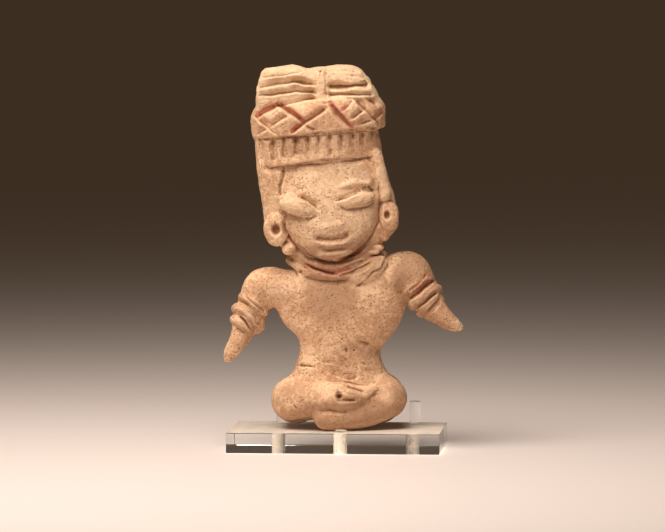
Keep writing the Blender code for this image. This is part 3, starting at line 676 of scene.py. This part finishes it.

# Where the skin is browner, from its own tone and from painted shade on the right side, the undersides, the
# foot and under the turban: the middle in across and height, the half sizes, how much
TAN_AND_SHADE_PATCHES = [
    ((-2.0, 41.5), (9.5, 10.0), 0.8),
    ((6.0, 22.0), (10.0, 7.0), 0.5),
    ((-15.0, 10.0), (7.0, 6.0), 0.45),
    ((3.0, 2.0), (24.0, 8.0), 1.0),
    ((1.0, 53.0), (16.0, 6.5), 0.8),
    ((26.0, 46.0), (9.0, 13.0), 0.95),
    ((-27.0, 33.0), (5.0, 6.0), 0.45),
    ((32.0, 35.0), (6.0, 7.0), 0.6),
    ((18.0, 13.0), (7.0, 7.0), 0.5),
    ((-3.0, 87.4), (20.0, 3.2), 0.5),
    ((-0.5, 59.0), (14.0, 5.5), 0.45),
]
HAIR_SLIP_FOOT = 50.0
GRIT_TOP = 41.0
GRIT_IN_HAIR = 0.25
PIT_COUNT = 620
PIT_RADIUS = (0.12, 0.28)

# The unevenness that fingers leave: height and size of its lumps
FINGER_LUMPS = [(0.2, 7.0), (0.08, 3.0), (0.035, 1.3)]

# What goes on round the sides and the back of the head: bands of height with the softness of their
# edges, and the spacing, half width and depth of the grooves in them
HEAD_AXIS = (-1.7, 1.8)
HEAD_RADIUS = 17.0
LATTICE_BAND = ((41.6, 51.2), (0.8, 0.8))
LATTICE_GROOVES = (9.4, 0.8, 0.8)
LATTICE_SLANT = 1.3
LATTICE_MIDDLE = 46.0
COMBED_BAND = ((52.4, 61.0), (0.8, 0.8))
COMBED_GROOVES = (3.1, 0.8, 0.7)
LOCK_BAND = ((33.6, 41.0), (0.8, 0.8))
NAPE_BAND = ((8.0, 31.5), (3.0, 2.0))
LOCK_GROOVES = (3.9, 0.7, 0.5)
NAPE_SHARE = 0.6


# Working the skin


def wave_noise(points, size, seed):
    """Smooth noise of about plus or minus one over rows of points, with bumps of about the given size."""
    draw = np.random.default_rng(seed)
    waves = 28
    ways = draw.normal(size=(waves, points.shape[1]))
    ways /= np.linalg.norm(ways, axis=1)[:, None]
    ways *= math.tau / (2.2 * size) * draw.uniform(0.6, 1.5, (waves, 1))
    phases = draw.uniform(0.0, math.tau, waves)
    return np.sin(points @ ways.T + phases).sum(axis=1) / math.sqrt(waves / 2) / 1.4


def soft_step(share):
    """Zero to one with no corner at either end."""
    share = np.clip(share, 0.0, 1.0)
    return share * share * (3.0 - 2.0 * share)


def within(values, band, edges):
    """One inside a band, falling off over its edges."""
    return soft_step((values - band[0]) / edges[0]) * soft_step((band[1] - values) / edges[1])


def grooves(values, spacing, half_width, depth):
    """The depth of evenly spaced grooves."""
    away = np.abs((values + spacing / 2) % spacing - spacing / 2)
    return depth * np.clip(1.0 - away / half_width, 0.0, 1.0)


def line_length(line):
    """The length of a polyline."""
    return float(np.linalg.norm(np.diff(np.array(line, float), axis=0), axis=1).sum())


def places_along(points, line):
    """How far each flat point lies to the left of a polyline, past its ends, and in from its nearer end."""
    best = np.full(len(points), np.inf)
    aside = np.zeros(len(points))
    beyond = np.zeros(len(points))
    inward = np.zeros(len(points))
    last = len(line) - 2
    run, whole = 0.0, line_length(line)
    for k, (a, b) in enumerate(zip(line, line[1:])):
        a, b = np.array(a, float), np.array(b, float)
        length = np.linalg.norm(b - a)
        way = (b - a) / length
        t = (points - a) @ way
        held = np.clip(t, 0.0, length)
        off = points - a - held[:, None] * way
        away = np.linalg.norm(off, axis=1)
        nearer = away < best
        best[nearer] = away[nearer]
        side = way[0] * off[:, 1] - way[1] * off[:, 0]
        past = np.abs(t - held)
        if k > 0:
            past = np.where(t < 0.0, 0.0, past)
        if k < last:
            past = np.where(t > length, 0.0, past)
        around_corner = np.where(past > 0.0, side, np.copysign(away, side))
        aside[nearer] = around_corner[nearer]
        beyond[nearer] = past[nearer]
        inward[nearer] = np.minimum(run + held, whole - run - held)[nearer]
        run += length
    return aside, beyond, inward


# How soon the skin counts as front where it turns away from the sides
FRONT_GAIN = 1.8

# The hand: how far its strokes sway, how unevenly it presses, how they end, and the burrs beside them
SHAKE = 0.14
SHAKE_SIZE = 2.2
UNSTEADY = 0.22
UNSTEADY_SIZE = 3.0
STROKE_END = 0.7
STROKE_FADE = 1.4
STROKE_MARGIN = 1.5
END_PRESS = 0.3
TUCK = 1.3
BURR_PLACE = 1.25
BURR_WIDTH = 0.42
BURR_SHARE = 0.7


class Clay:
    """The skin's points in millimetres, with the masks that its material reads."""

    def __init__(self, mesh):
        count = len(mesh.vertices)
        self.mesh = mesh
        self.points = np.empty(count * 3, np.float32)
        mesh.vertices.foreach_get("co", self.points)
        self.points = self.points.reshape(-1, 3).astype(float)
        edges = np.empty(len(mesh.edges) * 2, np.int32)
        mesh.edges.foreach_get("vertices", edges)
        self.edges = edges.reshape(-1, 2)
        self.valence = np.bincount(self.edges.ravel(), minlength=count).astype(float)
        self.masks = {name: np.zeros(count) for name in ("red", "slip_and_light", "pit", "tan", "grit")}
        shake = [wave_noise(self.points, SHAKE_SIZE, SEED + k) for k in (1, 2)]
        self.shake = SHAKE * np.stack(shake, 1)
        self.unsteady = 1.0 + UNSTEADY * wave_noise(self.points, UNSTEADY_SIZE, SEED + 3)
        self.refresh()

    def refresh(self):
        """Takes the normals again, and the place of each point on the rolled head."""
        self.mesh.vertices.foreach_set("co", self.points.astype(np.float32).ravel())
        self.mesh.update()
        normals = np.empty(len(self.points) * 3, np.float32)
        self.mesh.vertices.foreach_get("normal", normals)
        self.normals = normals.reshape(-1, 3).astype(float)
        unroll = np.array(Matrix.Rotation(HEAD_ROLL, 3, "Y"))
        self.head = (self.points - np.array(HEAD_PIVOT)) @ unroll.T
        self.front = np.clip(-self.normals[:, 1] * FRONT_GAIN, 0.0, 1.0)

    def front_view(self, on_head):
        """The front view of each point, shaken a little so that no stroke runs dead straight."""
        places = self.head if on_head else self.points
        return places[:, [0, 2]] + self.shake

    def cut(self, strokes, on_head):
        """Draws a blunt tool through the front along each stroke, and throws up a burr beside it."""
        flat = self.front_view(on_head)
        for line, left, right, depth, burr in strokes:
            reach = max(left, right) + STROKE_MARGIN
            low, high = np.min(line, axis=0) - reach, np.max(line, axis=0) + reach
            near = np.nonzero(((flat > low) & (flat < high)).all(axis=1) & (self.front > 0.0))[0]
            aside, beyond, inward = places_along(flat[near], line)
            full = min(STROKE_FADE, 0.45 * line_length(line))
            press = self.unsteady[near] * (END_PRESS + (1.0 - END_PRESS) * soft_step(inward / full))
            wide = np.where(aside > 0.0, left, right) * self.unsteady[near]
            share = np.abs(aside) / wide + (beyond / STROKE_END) ** 2
            share = np.clip(share, 0.0, 1.0)
            tucked = (aside > 0.0) & (left != right)
            groove = np.where(tucked, (1.0 - share) ** TUCK, 1.0 - share**2.0)
            edge = BURR_PLACE * (-right if right < left else left)
            lip = 0.0
            for side in (edge, -edge) if left == right else (edge,):
                lip += np.exp(-(((aside - side) / BURR_WIDTH) ** 2) - (beyond / STROKE_END) ** 2)
            cut = depth * groove - BURR_SHARE * burr * lip
            self.points[near, 1] += self.front[near] * press * cut
        self.refresh()

    def drill(self, holes):
        """Presses an oval hole into each spool."""
        for (across, up), (half_width, half_height), depth in holes:
            away = np.hypot((self.head[:, 0] - across) / half_width, (self.head[:, 2] - up) / half_height)
            hole = soft_step(1.7 - 1.3 * away)
            self.points[:, 1] += self.front * depth * hole
        self.refresh()

    def cover(self, name, strength):
        """Raises a mask to a strength, where it isn't stronger already."""
        self.masks[name] = np.maximum(self.masks[name], strength)

    def stain(self, name, lines, on_head):
        """Brushes a pigment along each line."""
        flat = self.front_view(on_head)
        for line, half_width, strength in lines:
            aside, beyond, _ = places_along(flat, line)
            away = (np.abs(aside) + beyond) / half_width
            self.cover(name, strength * self.front * soft_step(1.7 - away))

    def tan(self, patches):
        """Browns the skin in soft patches of its own tone and of painted shade, all the way through from
        front to back.
        """
        for middle, half_sizes, strength in patches:
            off = (self.points[:, [0, 2]] - np.array(middle)) / np.array(half_sizes)
            self.cover("tan", strength * soft_step(1.5 - np.hypot(*off.T)))

    def score_round_head(self):
        """Carries the turban's lattice and the combed hair on round the sides and the back, plainer."""
        across, depth, up = self.head.T
        arc = HEAD_RADIUS * np.arctan2(across - HEAD_AXIS[0], depth - HEAD_AXIS[1])
        rise = LATTICE_SLANT * (up - LATTICE_MIDDLE)
        lattice = np.maximum(grooves(arc + rise, *LATTICE_GROOVES), grooves(arc - rise, *LATTICE_GROOVES))
        combed = grooves(up + 0.8 * self.unsteady, *COMBED_GROOVES)
        locks = within(up, *LOCK_BAND) + NAPE_SHARE * within(up, *NAPE_BAND) * soft_step((depth - 3.0) / 3.0)
        deep = (
            lattice * within(up, *LATTICE_BAND)
            + combed * within(up, *COMBED_BAND)
            + grooves(arc, *LOCK_GROOVES) * locks
        )
        behind = soft_step((depth + 2.0) / 4.0)
        self.points -= self.normals * (behind * deep)[:, None]
        self.refresh()

    def roughen(self):
        """The unevenness of a surface shaped with fingers."""
        lumps = 0.0
        for seed, (height, size) in enumerate(FINGER_LUMPS, SEED + 4):
            lumps += height * wave_noise(self.points, size, seed)
        self.points += self.normals * lumps[:, None]
        self.refresh()

    def prick(self, count):
        """Scatters small pits, where grit has fallen out."""
        draw = random.Random(SEED)
        for _ in range(count):
            middle = self.points[draw.randrange(len(self.points))]
            radius = draw.uniform(*PIT_RADIUS)
            depth = radius * draw.uniform(0.5, 1.0)
            near = np.nonzero((np.abs(self.points - middle) < 1.4 * radius).all(axis=1))[0]
            away = np.linalg.norm(self.points[near] - middle, axis=1) / radius
            pit = soft_step(1.4 - away)
            self.points[near] -= self.normals[near] * (depth * pit)[:, None]
            # The pit mask is where the material paints shade into each pit
            self.masks["pit"][near] = np.maximum(self.masks["pit"][near], pit)
        self.refresh()

    def spread(self, values, rounds):
        """Averages values over each point's neighbours, again and again."""
        a, b = self.edges.T
        for _ in range(rounds):
            total = np.bincount(a, values[b], len(values)) + np.bincount(b, values[a], len(values))
            values = 0.5 * values + 0.5 * total / self.valence
        return values

    def hollows(self, rounds):
        """How far each point lies under the surface round it: positive in hollows, negative on ridges."""
        around = np.stack([self.spread(column, rounds) for column in self.points.T], 1)
        return ((around - self.points) * self.normals).sum(axis=1)

    def finish(self):
        """Flattens the seat and writes points and masks back to the mesh."""
        self.points[:, 2] = np.maximum(self.points[:, 2], 0.0)
        self.refresh()
        # The hollow mask, high in hollows and low on ridges, places the painted shade and the painted
        # highlight
        self.masks["hollow"] = np.clip(0.5 + 3.0 * self.hollows(2) + 1.1 * self.hollows(16), 0.0, 1.0)
        for name, values in self.masks.items():
            layer = self.mesh.attributes.new(name, "FLOAT", "POINT")
            layer.data.foreach_set("value", values.astype(np.float32))


def lock_strokes():
    """The grooves between the locks, deeper where they run up under the turban."""
    strokes = []
    for across, foot, depth in LOCKS:
        lean = LOCK_LEAN * (LOCK_TOP - foot)
        strokes.append(([(across, LOCK_TOP), (across + LOCK_GAP_SHIFT, LOCK_GAP_FOOT)], *LOCK_GAP))
        strokes.append(([(across, LOCK_TOP), (across + lean, foot)], *LOCK_REACH, depth, 0.0))
    return strokes


def tool_skin(clay):
    """Works the skin over: fingers first, then strokes and holes, and last the fallen grit."""
    clay.roughen()
    clay.cut(HAIR_STROKES + TURBAN_STROKES + lock_strokes() + FACE_STROKES, on_head=True)
    clay.cut(COLLAR_STROKES + ARMBAND_STROKES + LAP_STROKES, on_head=False)
    clay.drill(SPOOL_HOLES)
    clay.score_round_head()
    clay.prick(PIT_COUNT)


def stain_skin(clay):
    """Lays on the worn red, the pale slip on the hair with painted light on the face, the browner skin with
    painted shade, and says where the grit shows.
    """
    clay.stain("red", RED_ON_HEAD, on_head=True)
    clay.stain("red", RED_ON_BODY, on_head=False)
    # Painted light on the face
    clay.stain("slip_and_light", PAINTED_LIGHT_ON_FACE, on_head=True)
    # Painted shade goes on with the brown tone
    clay.tan(TAN_AND_SHADE_PATCHES)
    up = clay.head[:, 2]
    clay.cover("slip_and_light", soft_step((up - HAIR_SLIP_FOOT) / 2.0))
    clay.cover("grit", 1.0 - (1.0 - GRIT_IN_HAIR) * soft_step((up - GRIT_TOP) / 2.0))
    clay.cover("red", RED_WASH * within(up, WASH_BAND, WASH_EDGES))


def build_figurine(material):
    """The finished clay, standing where the frame's figurine stands."""
    mesh = model_skin()
    clay = Clay(mesh)
    tool_skin(clay)
    stain_skin(clay)
    clay.finish()
    place = Matrix.Translation(SEAT) @ Matrix.Rotation(FIGURE_TURN, 4, "Z") @ Matrix.Scale(UNIT, 4)
    mesh.transform(place)
    obj = add_object("figurine_clay", mesh)
    thin = obj.modifiers.new("thin", "DECIMATE")
    thin.ratio = min(1.0, SKIN_TRIANGLES / (2.0 * len(mesh.polygons)))
    skin = settle(obj)
    skin.shade_smooth()
    skin.materials.clear()
    skin.materials.append(material)
    return add_object("figurine_clay", skin)


# Materials


def add_node(tree, kind, **settings):
    """A node with its settings."""
    node = tree.nodes.new(kind)
    for name, value in settings.items():
        setattr(node, name, value)
    return node


def put(node, **values):
    """Gives a node's inputs their values, or links them from another node's output.

    An input is named with _ for each space, or by i and its number.
    """
    tree = node.id_data
    for name, value in values.items():
        key = int(name[1:]) if name[0] == "i" and name[1:].isdigit() else name.replace("_", " ")
        socket = node.inputs[key]
        if isinstance(value, bpy.types.NodeSocket):
            tree.links.new(value, socket)
        else:
            socket.default_value = value
    return node


def new_group(name, outputs, **inputs):
    """A shader node group with named sockets: the group, what comes in, and its output node.

    An input of four numbers is a colour and one of three a vector, and an output Color is a colour.
    """
    group = bpy.data.node_groups.new(name, "ShaderNodeTree")
    for label, value in inputs.items():
        kind = {3: "Vector", 4: "Color"}[len(value)] if isinstance(value, tuple) else "Float"
        label = label.replace("_", " ")
        socket = group.interface.new_socket(label, in_out="INPUT", socket_type=f"NodeSocket{kind}")
        socket.default_value = value
    for label in outputs:
        kind = "Color" if label == "Color" else "Float"
        group.interface.new_socket(label, in_out="OUTPUT", socket_type=f"NodeSocket{kind}")
    given = group.nodes.new("NodeGroupInput").outputs
    return group, [given[i] for i in range(len(inputs))], group.nodes.new("NodeGroupOutput")


def noise(tree, where, scale, detail=4.0, roughness=0.55):
    """A noise texture's value over where."""
    node = add_node(tree, "ShaderNodeTexNoise")
    put(node, Vector=where, Scale=scale, Detail=detail, Roughness=roughness)
    return node.outputs["Fac"]


def span(tree, value, low, high, to_low=0.0, to_high=1.0):
    """Maps a value from one range to another, smoothly and held at the ends."""
    node = add_node(tree, "ShaderNodeMapRange", interpolation_type="SMOOTHSTEP", clamp=True)
    put(node, Value=value, From_Min=low, From_Max=high, To_Min=to_low, To_Max=to_high)
    return node.outputs["Result"]


def combine(tree, a, b, operation="ADD"):
    """Two values put together by a Math node."""
    return put(add_node(tree, "ShaderNodeMath", operation=operation), i0=a, i1=b).outputs[0]


def blend(tree, share, a, b):
    """Mixes two colours by a share."""
    node = add_node(tree, "ShaderNodeMix", data_type="RGBA")
    put(node, i0=share, i6=a, i7=b)
    return node.outputs[2]


def mottle_group():
    """Clay that fired unevenly: two tones in clouds, and the height of its grain."""
    group, (where, light, dark, scale), out = new_group(
        "uneven firing",
        ("Color", "Height"),
        Where=(0, 0, 0),
        Light_Tone=(0.7, 0.5, 0.3, 1),
        Dark_Tone=(0.4, 0.2, 0.1, 1),
        Cloud_Scale=120.0,
    )
    clouds = span(group, noise(group, where, scale, 6.0, 0.62), 0.36, 0.66)
    fine = noise(group, where, combine(group, scale, 9.0, "MULTIPLY"), 5.0, 0.7)
    share = combine(group, clouds, span(group, fine, 0.38, 0.62, -0.55, 0.45))
    put(out, Color=blend(group, share, dark, light), Height=fine)
    return group


def grit_group():
    """Dark grains and the pinholes they leave, scattered with gaps."""
    group, (where, scale, size, spread), out = new_group(
        "grit",
        ("Mask",),
        Where=(0, 0, 0),
        Grain_Scale=900.0,
        Grain_Size=0.25,
        Spread=0.5,
    )
    cells = put(add_node(group, "ShaderNodeTexVoronoi", feature="F1"), Vector=where, Scale=scale)
    grain = span(group, cells.outputs["Distance"], size, combine(group, size, 0.5, "MULTIPLY"))
    split = put(add_node(group, "ShaderNodeSeparateColor"), Color=cells.outputs["Color"])
    some = combine(group, split.outputs[0], spread, "LESS_THAN")
    patchy = span(group, noise(group, where, combine(group, scale, 0.12, "MULTIPLY")), 0.36, 0.56)
    put(out, Mask=combine(group, combine(group, grain, some, "MULTIPLY"), patchy, "MULTIPLY"))
    return group


def layer_group():
    """A coat broken up as if partly rubbed off: it covers where its mask is strong and the rubbing is light.
    It lays the real coats, and the painted shade, light and highlight too.
    """
    group, (where, under, coat, cover, scale, strength), out = new_group(
        "layered coat",
        ("Color",),
        Where=(0, 0, 0),
        Under=(0.5, 0.5, 0.5, 1),
        Coat=(0.5, 0.1, 0.1, 1),
        Cover=0.0,
        Rub_Scale=500.0,
        Strength=0.8,
    )
    rub = noise(group, where, scale, 6.0, 0.7)
    held = span(group, combine(group, cover, rub, "ADD"), 0.75, 1.25)
    share = combine(group, held, strength, "MULTIPLY")
    put(out, Color=blend(group, share, under, coat))
    return group


def use(tree, group, **values):
    """Places a group in a tree with its values."""
    node = add_node(tree, "ShaderNodeGroup", node_tree=group)
    return put(node, **values)


def attribute(tree, name):
    """One of the masks that the tooling left on the skin."""
    return add_node(tree, "ShaderNodeAttribute", attribute_name=name).outputs["Fac"]


# The clay's colours and finish

CLAY_LIGHT = (0.82, 0.54, 0.34, 1.0)
CLAY_DARK = (0.57, 0.325, 0.18, 1.0)
# The pale slip on the hair, also painted light on the face
SLIP_AND_LIGHT_PALE = (0.86, 0.62, 0.405, 1.0)
# Brown for the skin's own tone and for painted shade
BROWN_TONE_AND_SHADE = (0.4, 0.215, 0.12, 1.0)
PIGMENT_RED = (0.48, 0.12, 0.07, 1.0)
# Painted shade in the hollows
HOLLOW_SHADE_BROWN = (0.24, 0.125, 0.06, 1.0)
GRIT_BROWN = (0.3, 0.14, 0.075, 1.0)
# Painted highlight on the ridges
RIDGE_HIGHLIGHT_PALE = (0.86, 0.63, 0.42, 1.0)
CLAY_ROUGHNESS = 0.88
CLAY_SHEEN = 0.25
CLAY_GRAIN = 0.0004
GRIT_SHADE = 0.66
FINE_GRIT_SHARE = 0.9
# Painted shade in the pricked pits
PIT_SHADE = 0.55


def clay_material():
    """Gritty buff clay with a pale slip on the hair, painted light on the face, worn red lines, painted
    shade in the hollows, pits and undersides, and a painted highlight on the ridges.
    """
    material = bpy.data.materials.new("fired_clay")
    material.use_nodes = True
    tree = material.node_tree
    shader = tree.nodes["Principled BSDF"]
    where = add_node(tree, "ShaderNodeTexCoord").outputs["Object"]
    mottle, grit, layering = mottle_group(), grit_group(), layer_group()
    base = use(tree, mottle, Where=where, Light_Tone=CLAY_LIGHT, Dark_Tone=CLAY_DARK, Cloud_Scale=110.0)
    hollow = attribute(tree, "hollow")
    # The coats from the skin up, some of them painted light and shade: colour, where it lies, scale of the
    # rubbing, how much of it is left
    coats = (
        # Brown tone, with painted shade
        (BROWN_TONE_AND_SHADE, attribute(tree, "tan"), 180.0, 0.75),
        # Pale slip on the hair, with painted light on the face
        (SLIP_AND_LIGHT_PALE, attribute(tree, "slip_and_light"), 260.0, 0.5),
        (PIGMENT_RED, attribute(tree, "red"), 420.0, 0.8),
        # Painted shade in the hollows
        (HOLLOW_SHADE_BROWN, span(tree, hollow, 0.52, 0.95), 700.0, 0.6),
        # Painted highlight on the ridges
        (RIDGE_HIGHLIGHT_PALE, span(tree, hollow, 0.46, 0.12), 600.0, 0.35),
    )
    worn = base.outputs["Color"]
    for coat, cover, rub, strength in coats:
        coated = use(tree, layering, Where=where, Under=worn, Coat=coat, Cover=cover)
        worn = put(coated, Rub_Scale=rub, Strength=strength).outputs["Color"]
    coarse = use(tree, grit, Where=where, Grain_Scale=680.0, Grain_Size=0.18, Spread=0.26)
    small = use(tree, grit, Where=where, Grain_Scale=1150.0, Grain_Size=0.36, Spread=0.75)
    fine = combine(tree, small.outputs["Mask"], FINE_GRIT_SHARE, "MULTIPLY")
    specks = combine(tree, coarse.outputs["Mask"], fine, "MAXIMUM")
    # The pricked pits are darkened too: painted shade in them
    pits = combine(tree, attribute(tree, "pit"), PIT_SHADE, "MULTIPLY")
    shown = combine(tree, combine(tree, specks, pits, "MAXIMUM"), attribute(tree, "grit"), "MULTIPLY")
    speckled = blend(tree, combine(tree, shown, GRIT_SHADE, "MULTIPLY"), worn, GRIT_BROWN)
    relief = combine(tree, base.outputs["Height"], combine(tree, specks, 0.9, "MULTIPLY"), "SUBTRACT")
    bump = put(add_node(tree, "ShaderNodeBump"), Height=relief, Strength=0.7, Distance=CLAY_GRAIN)
    put(shader, Base_Color=speckled, Normal=bump.outputs["Normal"], Roughness=CLAY_ROUGHNESS)
    put(shader, Specular_IOR_Level=CLAY_SHEEN)
    return material


def film_group():
    """A thin film of dust and handling marks: where it lies, and how rough it leaves the polish."""
    group, (where, up, scale, cover, polish), out = new_group(
        "dusty film",
        ("Share", "Roughness"),
        Where=(0, 0, 0),
        Facing_Up=0.0,
        Patch_Scale=60.0,
        Cover=0.3,
        Polish=0.02,
    )
    patches = span(group, noise(group, where, scale, 5.0, 0.65), 0.3, 0.7, 0.7, 1.0)
    bare = combine(group, up, 0.0, "MAXIMUM")
    lying = combine(group, combine(group, bare, patches, "MULTIPLY"), cover, "MULTIPLY")
    close = noise(group, where, combine(group, scale, 7.0, "MULTIPLY"), 3.0)
    smears = span(group, close, 0.4, 0.7, 0.0, 0.05)
    put(out, Share=lying, Roughness=combine(group, polish, smears))
    return group


def bore_group():
    """The cloudy wall that the drill left in a bore, and the cloudy foot of its peg, inside the block."""
    group, (where, middle, reach, top, scale), out = new_group(
        "cloudy bore",
        ("Mask",),
        Where=(0, 0, 0),
        Middle=(0, 0, 0),
        Reach=0.0022,
        Top=0.006,
        Cloud_Scale=300.0,
    )
    offset = put(add_node(group, "ShaderNodeVectorMath", operation="SUBTRACT"), i0=where, i1=middle)
    level = add_node(group, "ShaderNodeVectorMath", operation="MULTIPLY")
    put(level, i0=offset.outputs[0], i1=(1.0, 1.0, 0.0))
    away = put(add_node(group, "ShaderNodeVectorMath", operation="LENGTH"), i0=level.outputs[0])
    beside = combine(group, away.outputs["Value"], reach, "LESS_THAN")
    split = put(add_node(group, "ShaderNodeSeparateXYZ"), Vector=where)
    inside = combine(group, beside, combine(group, split.outputs["Z"], top, "LESS_THAN"), "MULTIPLY")
    clouds = span(group, noise(group, where, scale, 3.0), 0.3, 0.7, 0.6, 1.0)
    put(out, Mask=combine(group, inside, clouds, "MULTIPLY"))
    return group


# The acrylic, its cloudy bores and its dust

BORE_REACH = 0.0005
BORE_RIM = 0.0001
BORE_CLOUD = 0.75
BORE_ROUGHNESS = 0.35
DUST_COLOUR = (0.86, 0.74, 0.62, 1.0)
DUST_COVER = 0.62
ACRYLIC_TINT = (0.97, 0.985, 0.98, 1.0)
ACRYLIC_SHADOW = (0.94, 0.95, 0.94, 1.0)
ACRYLIC_IOR = 1.49


def cloudy_bores(tree):
    """Where the block and its pegs are cloudy, round each peg and under the block's top."""
    where = add_node(tree, "ShaderNodeNewGeometry").outputs["Position"]
    group = bore_group()
    cloudy = 0.0
    for name in PEGS:
        low, high = (Vector(corner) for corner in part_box(name))
        reach = (high.x - low.x) / 2 + BORE_REACH
        bore = use(tree, group, Where=where, Middle=(low + high) / 2, Reach=reach, Top=BLOCK_TOP - BORE_RIM)
        cloudy = combine(tree, bore.outputs["Mask"], cloudy, "MAXIMUM")
    return cloudy


def acrylic_material():
    """Clear polished acrylic, dusty on top and cloudy round its bores. Lamps reach through it."""
    material = bpy.data.materials.new("clear_acrylic")
    material.use_nodes = True
    tree = material.node_tree
    shader = tree.nodes["Principled BSDF"]
    place = add_node(tree, "ShaderNodeTexCoord")
    split = put(add_node(tree, "ShaderNodeSeparateXYZ"), Vector=place.outputs["Normal"])
    up = span(tree, split.outputs["Z"], 0.7, 0.95)
    inside = add_node(tree, "ShaderNodeNewGeometry").outputs["Backfacing"]
    from_outside = combine(tree, up, inside, "SUBTRACT")
    film = use(tree, film_group(), Where=place.outputs["Object"], Facing_Up=from_outside, Cover=DUST_COVER)
    cloudy = cloudy_bores(tree)
    rough = combine(tree, film.outputs["Roughness"], combine(tree, cloudy, BORE_ROUGHNESS, "MULTIPLY"))
    put(shader, Base_Color=ACRYLIC_TINT, Roughness=rough, IOR=ACRYLIC_IOR, Transmission_Weight=1.0)
    dust = put(add_node(tree, "ShaderNodeBsdfDiffuse"), Color=DUST_COLOUR)
    dusty = add_node(tree, "ShaderNodeMixShader")
    share = combine(tree, film.outputs["Share"], combine(tree, cloudy, BORE_CLOUD, "MULTIPLY"), "MAXIMUM")
    put(dusty, i0=share, i1=shader.outputs[0], i2=dust.outputs[0])
    clear = put(add_node(tree, "ShaderNodeBsdfTransparent"), Color=ACRYLIC_SHADOW)
    path = add_node(tree, "ShaderNodeLightPath")
    mix = add_node(tree, "ShaderNodeMixShader")
    put(mix, i0=path.outputs["Is Shadow Ray"], i1=dusty.outputs[0], i2=clear.outputs[0])
    output = tree.nodes["Material Output"]
    tree.links.new(mix.outputs[0], output.inputs["Surface"])
    return material


def plain_material(name, colour, roughness):
    """A plain matte finish for the floor."""
    material = bpy.data.materials.new(name)
    material.use_nodes = True
    put(material.node_tree.nodes["Principled BSDF"], Base_Color=colour, Roughness=roughness)
    return material


# Camera, floor and light

CAMERA_DISTANCE = 1.6
CAMERA_ELEVATION = math.radians(3.58)
CAMERA_AIM = Vector((-0.00162, 0.0, 0.0568))
CAMERA_LENS = 278.5
CAMERA_SENSOR = 36.0
FLOOR_COLOUR = (0.8, 0.705, 0.665, 1.0)
FLOOR_ROUGHNESS = 0.6
FLOOR_SIZE = 30.0
FLOOR_GAP = 0.0001
WORLD_COLOUR = (0.055, 0.037, 0.022, 1.0)
KEY_LIGHT = {
    "position": (-0.14, -0.23, 0.475),
    "target": (-0.05, -0.06, 0.04),
    "size": 0.46,
    "power": 1.95,
    "colour": (1.0, 0.915, 0.83),
    "spread": math.radians(112),
}


def aimed(position, target):
    """A placement at position whose -Z looks at target."""
    position, target = Vector(position), Vector(target)
    return Matrix.Translation(position) @ (target - position).to_track_quat("-Z", "Y").to_matrix().to_4x4()


def turned(x, y, z):
    """A place given as the figurine faces it, turned with the figurine on its stand."""
    return Matrix.Rotation(FIGURE_TURN, 3, "Z") @ Vector((x, y, z))


def add_camera():
    """The photograph's view: a long lens, a little above the stand."""
    data = bpy.data.cameras.new("camera")
    data.sensor_width = CAMERA_SENSOR
    data.lens = CAMERA_LENS
    camera = add_object("camera", data)
    back = Vector((0.0, -math.cos(CAMERA_ELEVATION), math.sin(CAMERA_ELEVATION))) * CAMERA_DISTANCE
    camera.matrix_world = aimed(turned(*(CAMERA_AIM + back)), turned(*CAMERA_AIM))
    bpy.context.scene.camera = camera


def add_softbox(name, position, target, size, power, colour, spread):
    """A round soft lamp."""
    data = bpy.data.lights.new(name, "AREA")
    data.shape = "DISK"
    data.size = size
    data.energy = power
    data.color = colour
    data.spread = spread
    light = add_object(name, data)
    light.matrix_world = aimed(turned(*position), turned(*target))


def add_studio():
    """A pale floor, dim warm surroundings and one soft lamp over the figurine."""
    bm = bmesh.new()
    bmesh.ops.create_grid(bm, x_segments=1, y_segments=1, size=FLOOR_SIZE)
    mesh = bpy.data.meshes.new("floor")
    bm.to_mesh(mesh)
    bm.free()
    mesh.materials.append(plain_material("pale_floor", FLOOR_COLOUR, FLOOR_ROUGHNESS))
    floor = add_object("floor", mesh)
    floor.location.z = -FLOOR_GAP
    world = bpy.data.worlds.new("studio")
    world.use_nodes = True
    put(world.node_tree.nodes["Background"], Color=WORLD_COLOUR, Strength=1.0)
    bpy.context.scene.world = world
    add_softbox("key", **KEY_LIGHT)


def main():
    """Builds the clay, gives block and pegs their acrylic, and sets up the picture."""
    clay = clay_material()
    acrylic = acrylic_material()
    figurine = build_figurine(clay)
    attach(figurine, "root")
    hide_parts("figurine")
    for name in ("stand_block", *PEGS):
        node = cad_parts[name]
        node.data.materials.clear()
        node.data.materials.append(acrylic)
    add_camera()
    add_studio()
    bpy.context.scene.view_settings.view_transform = "Standard"


main()
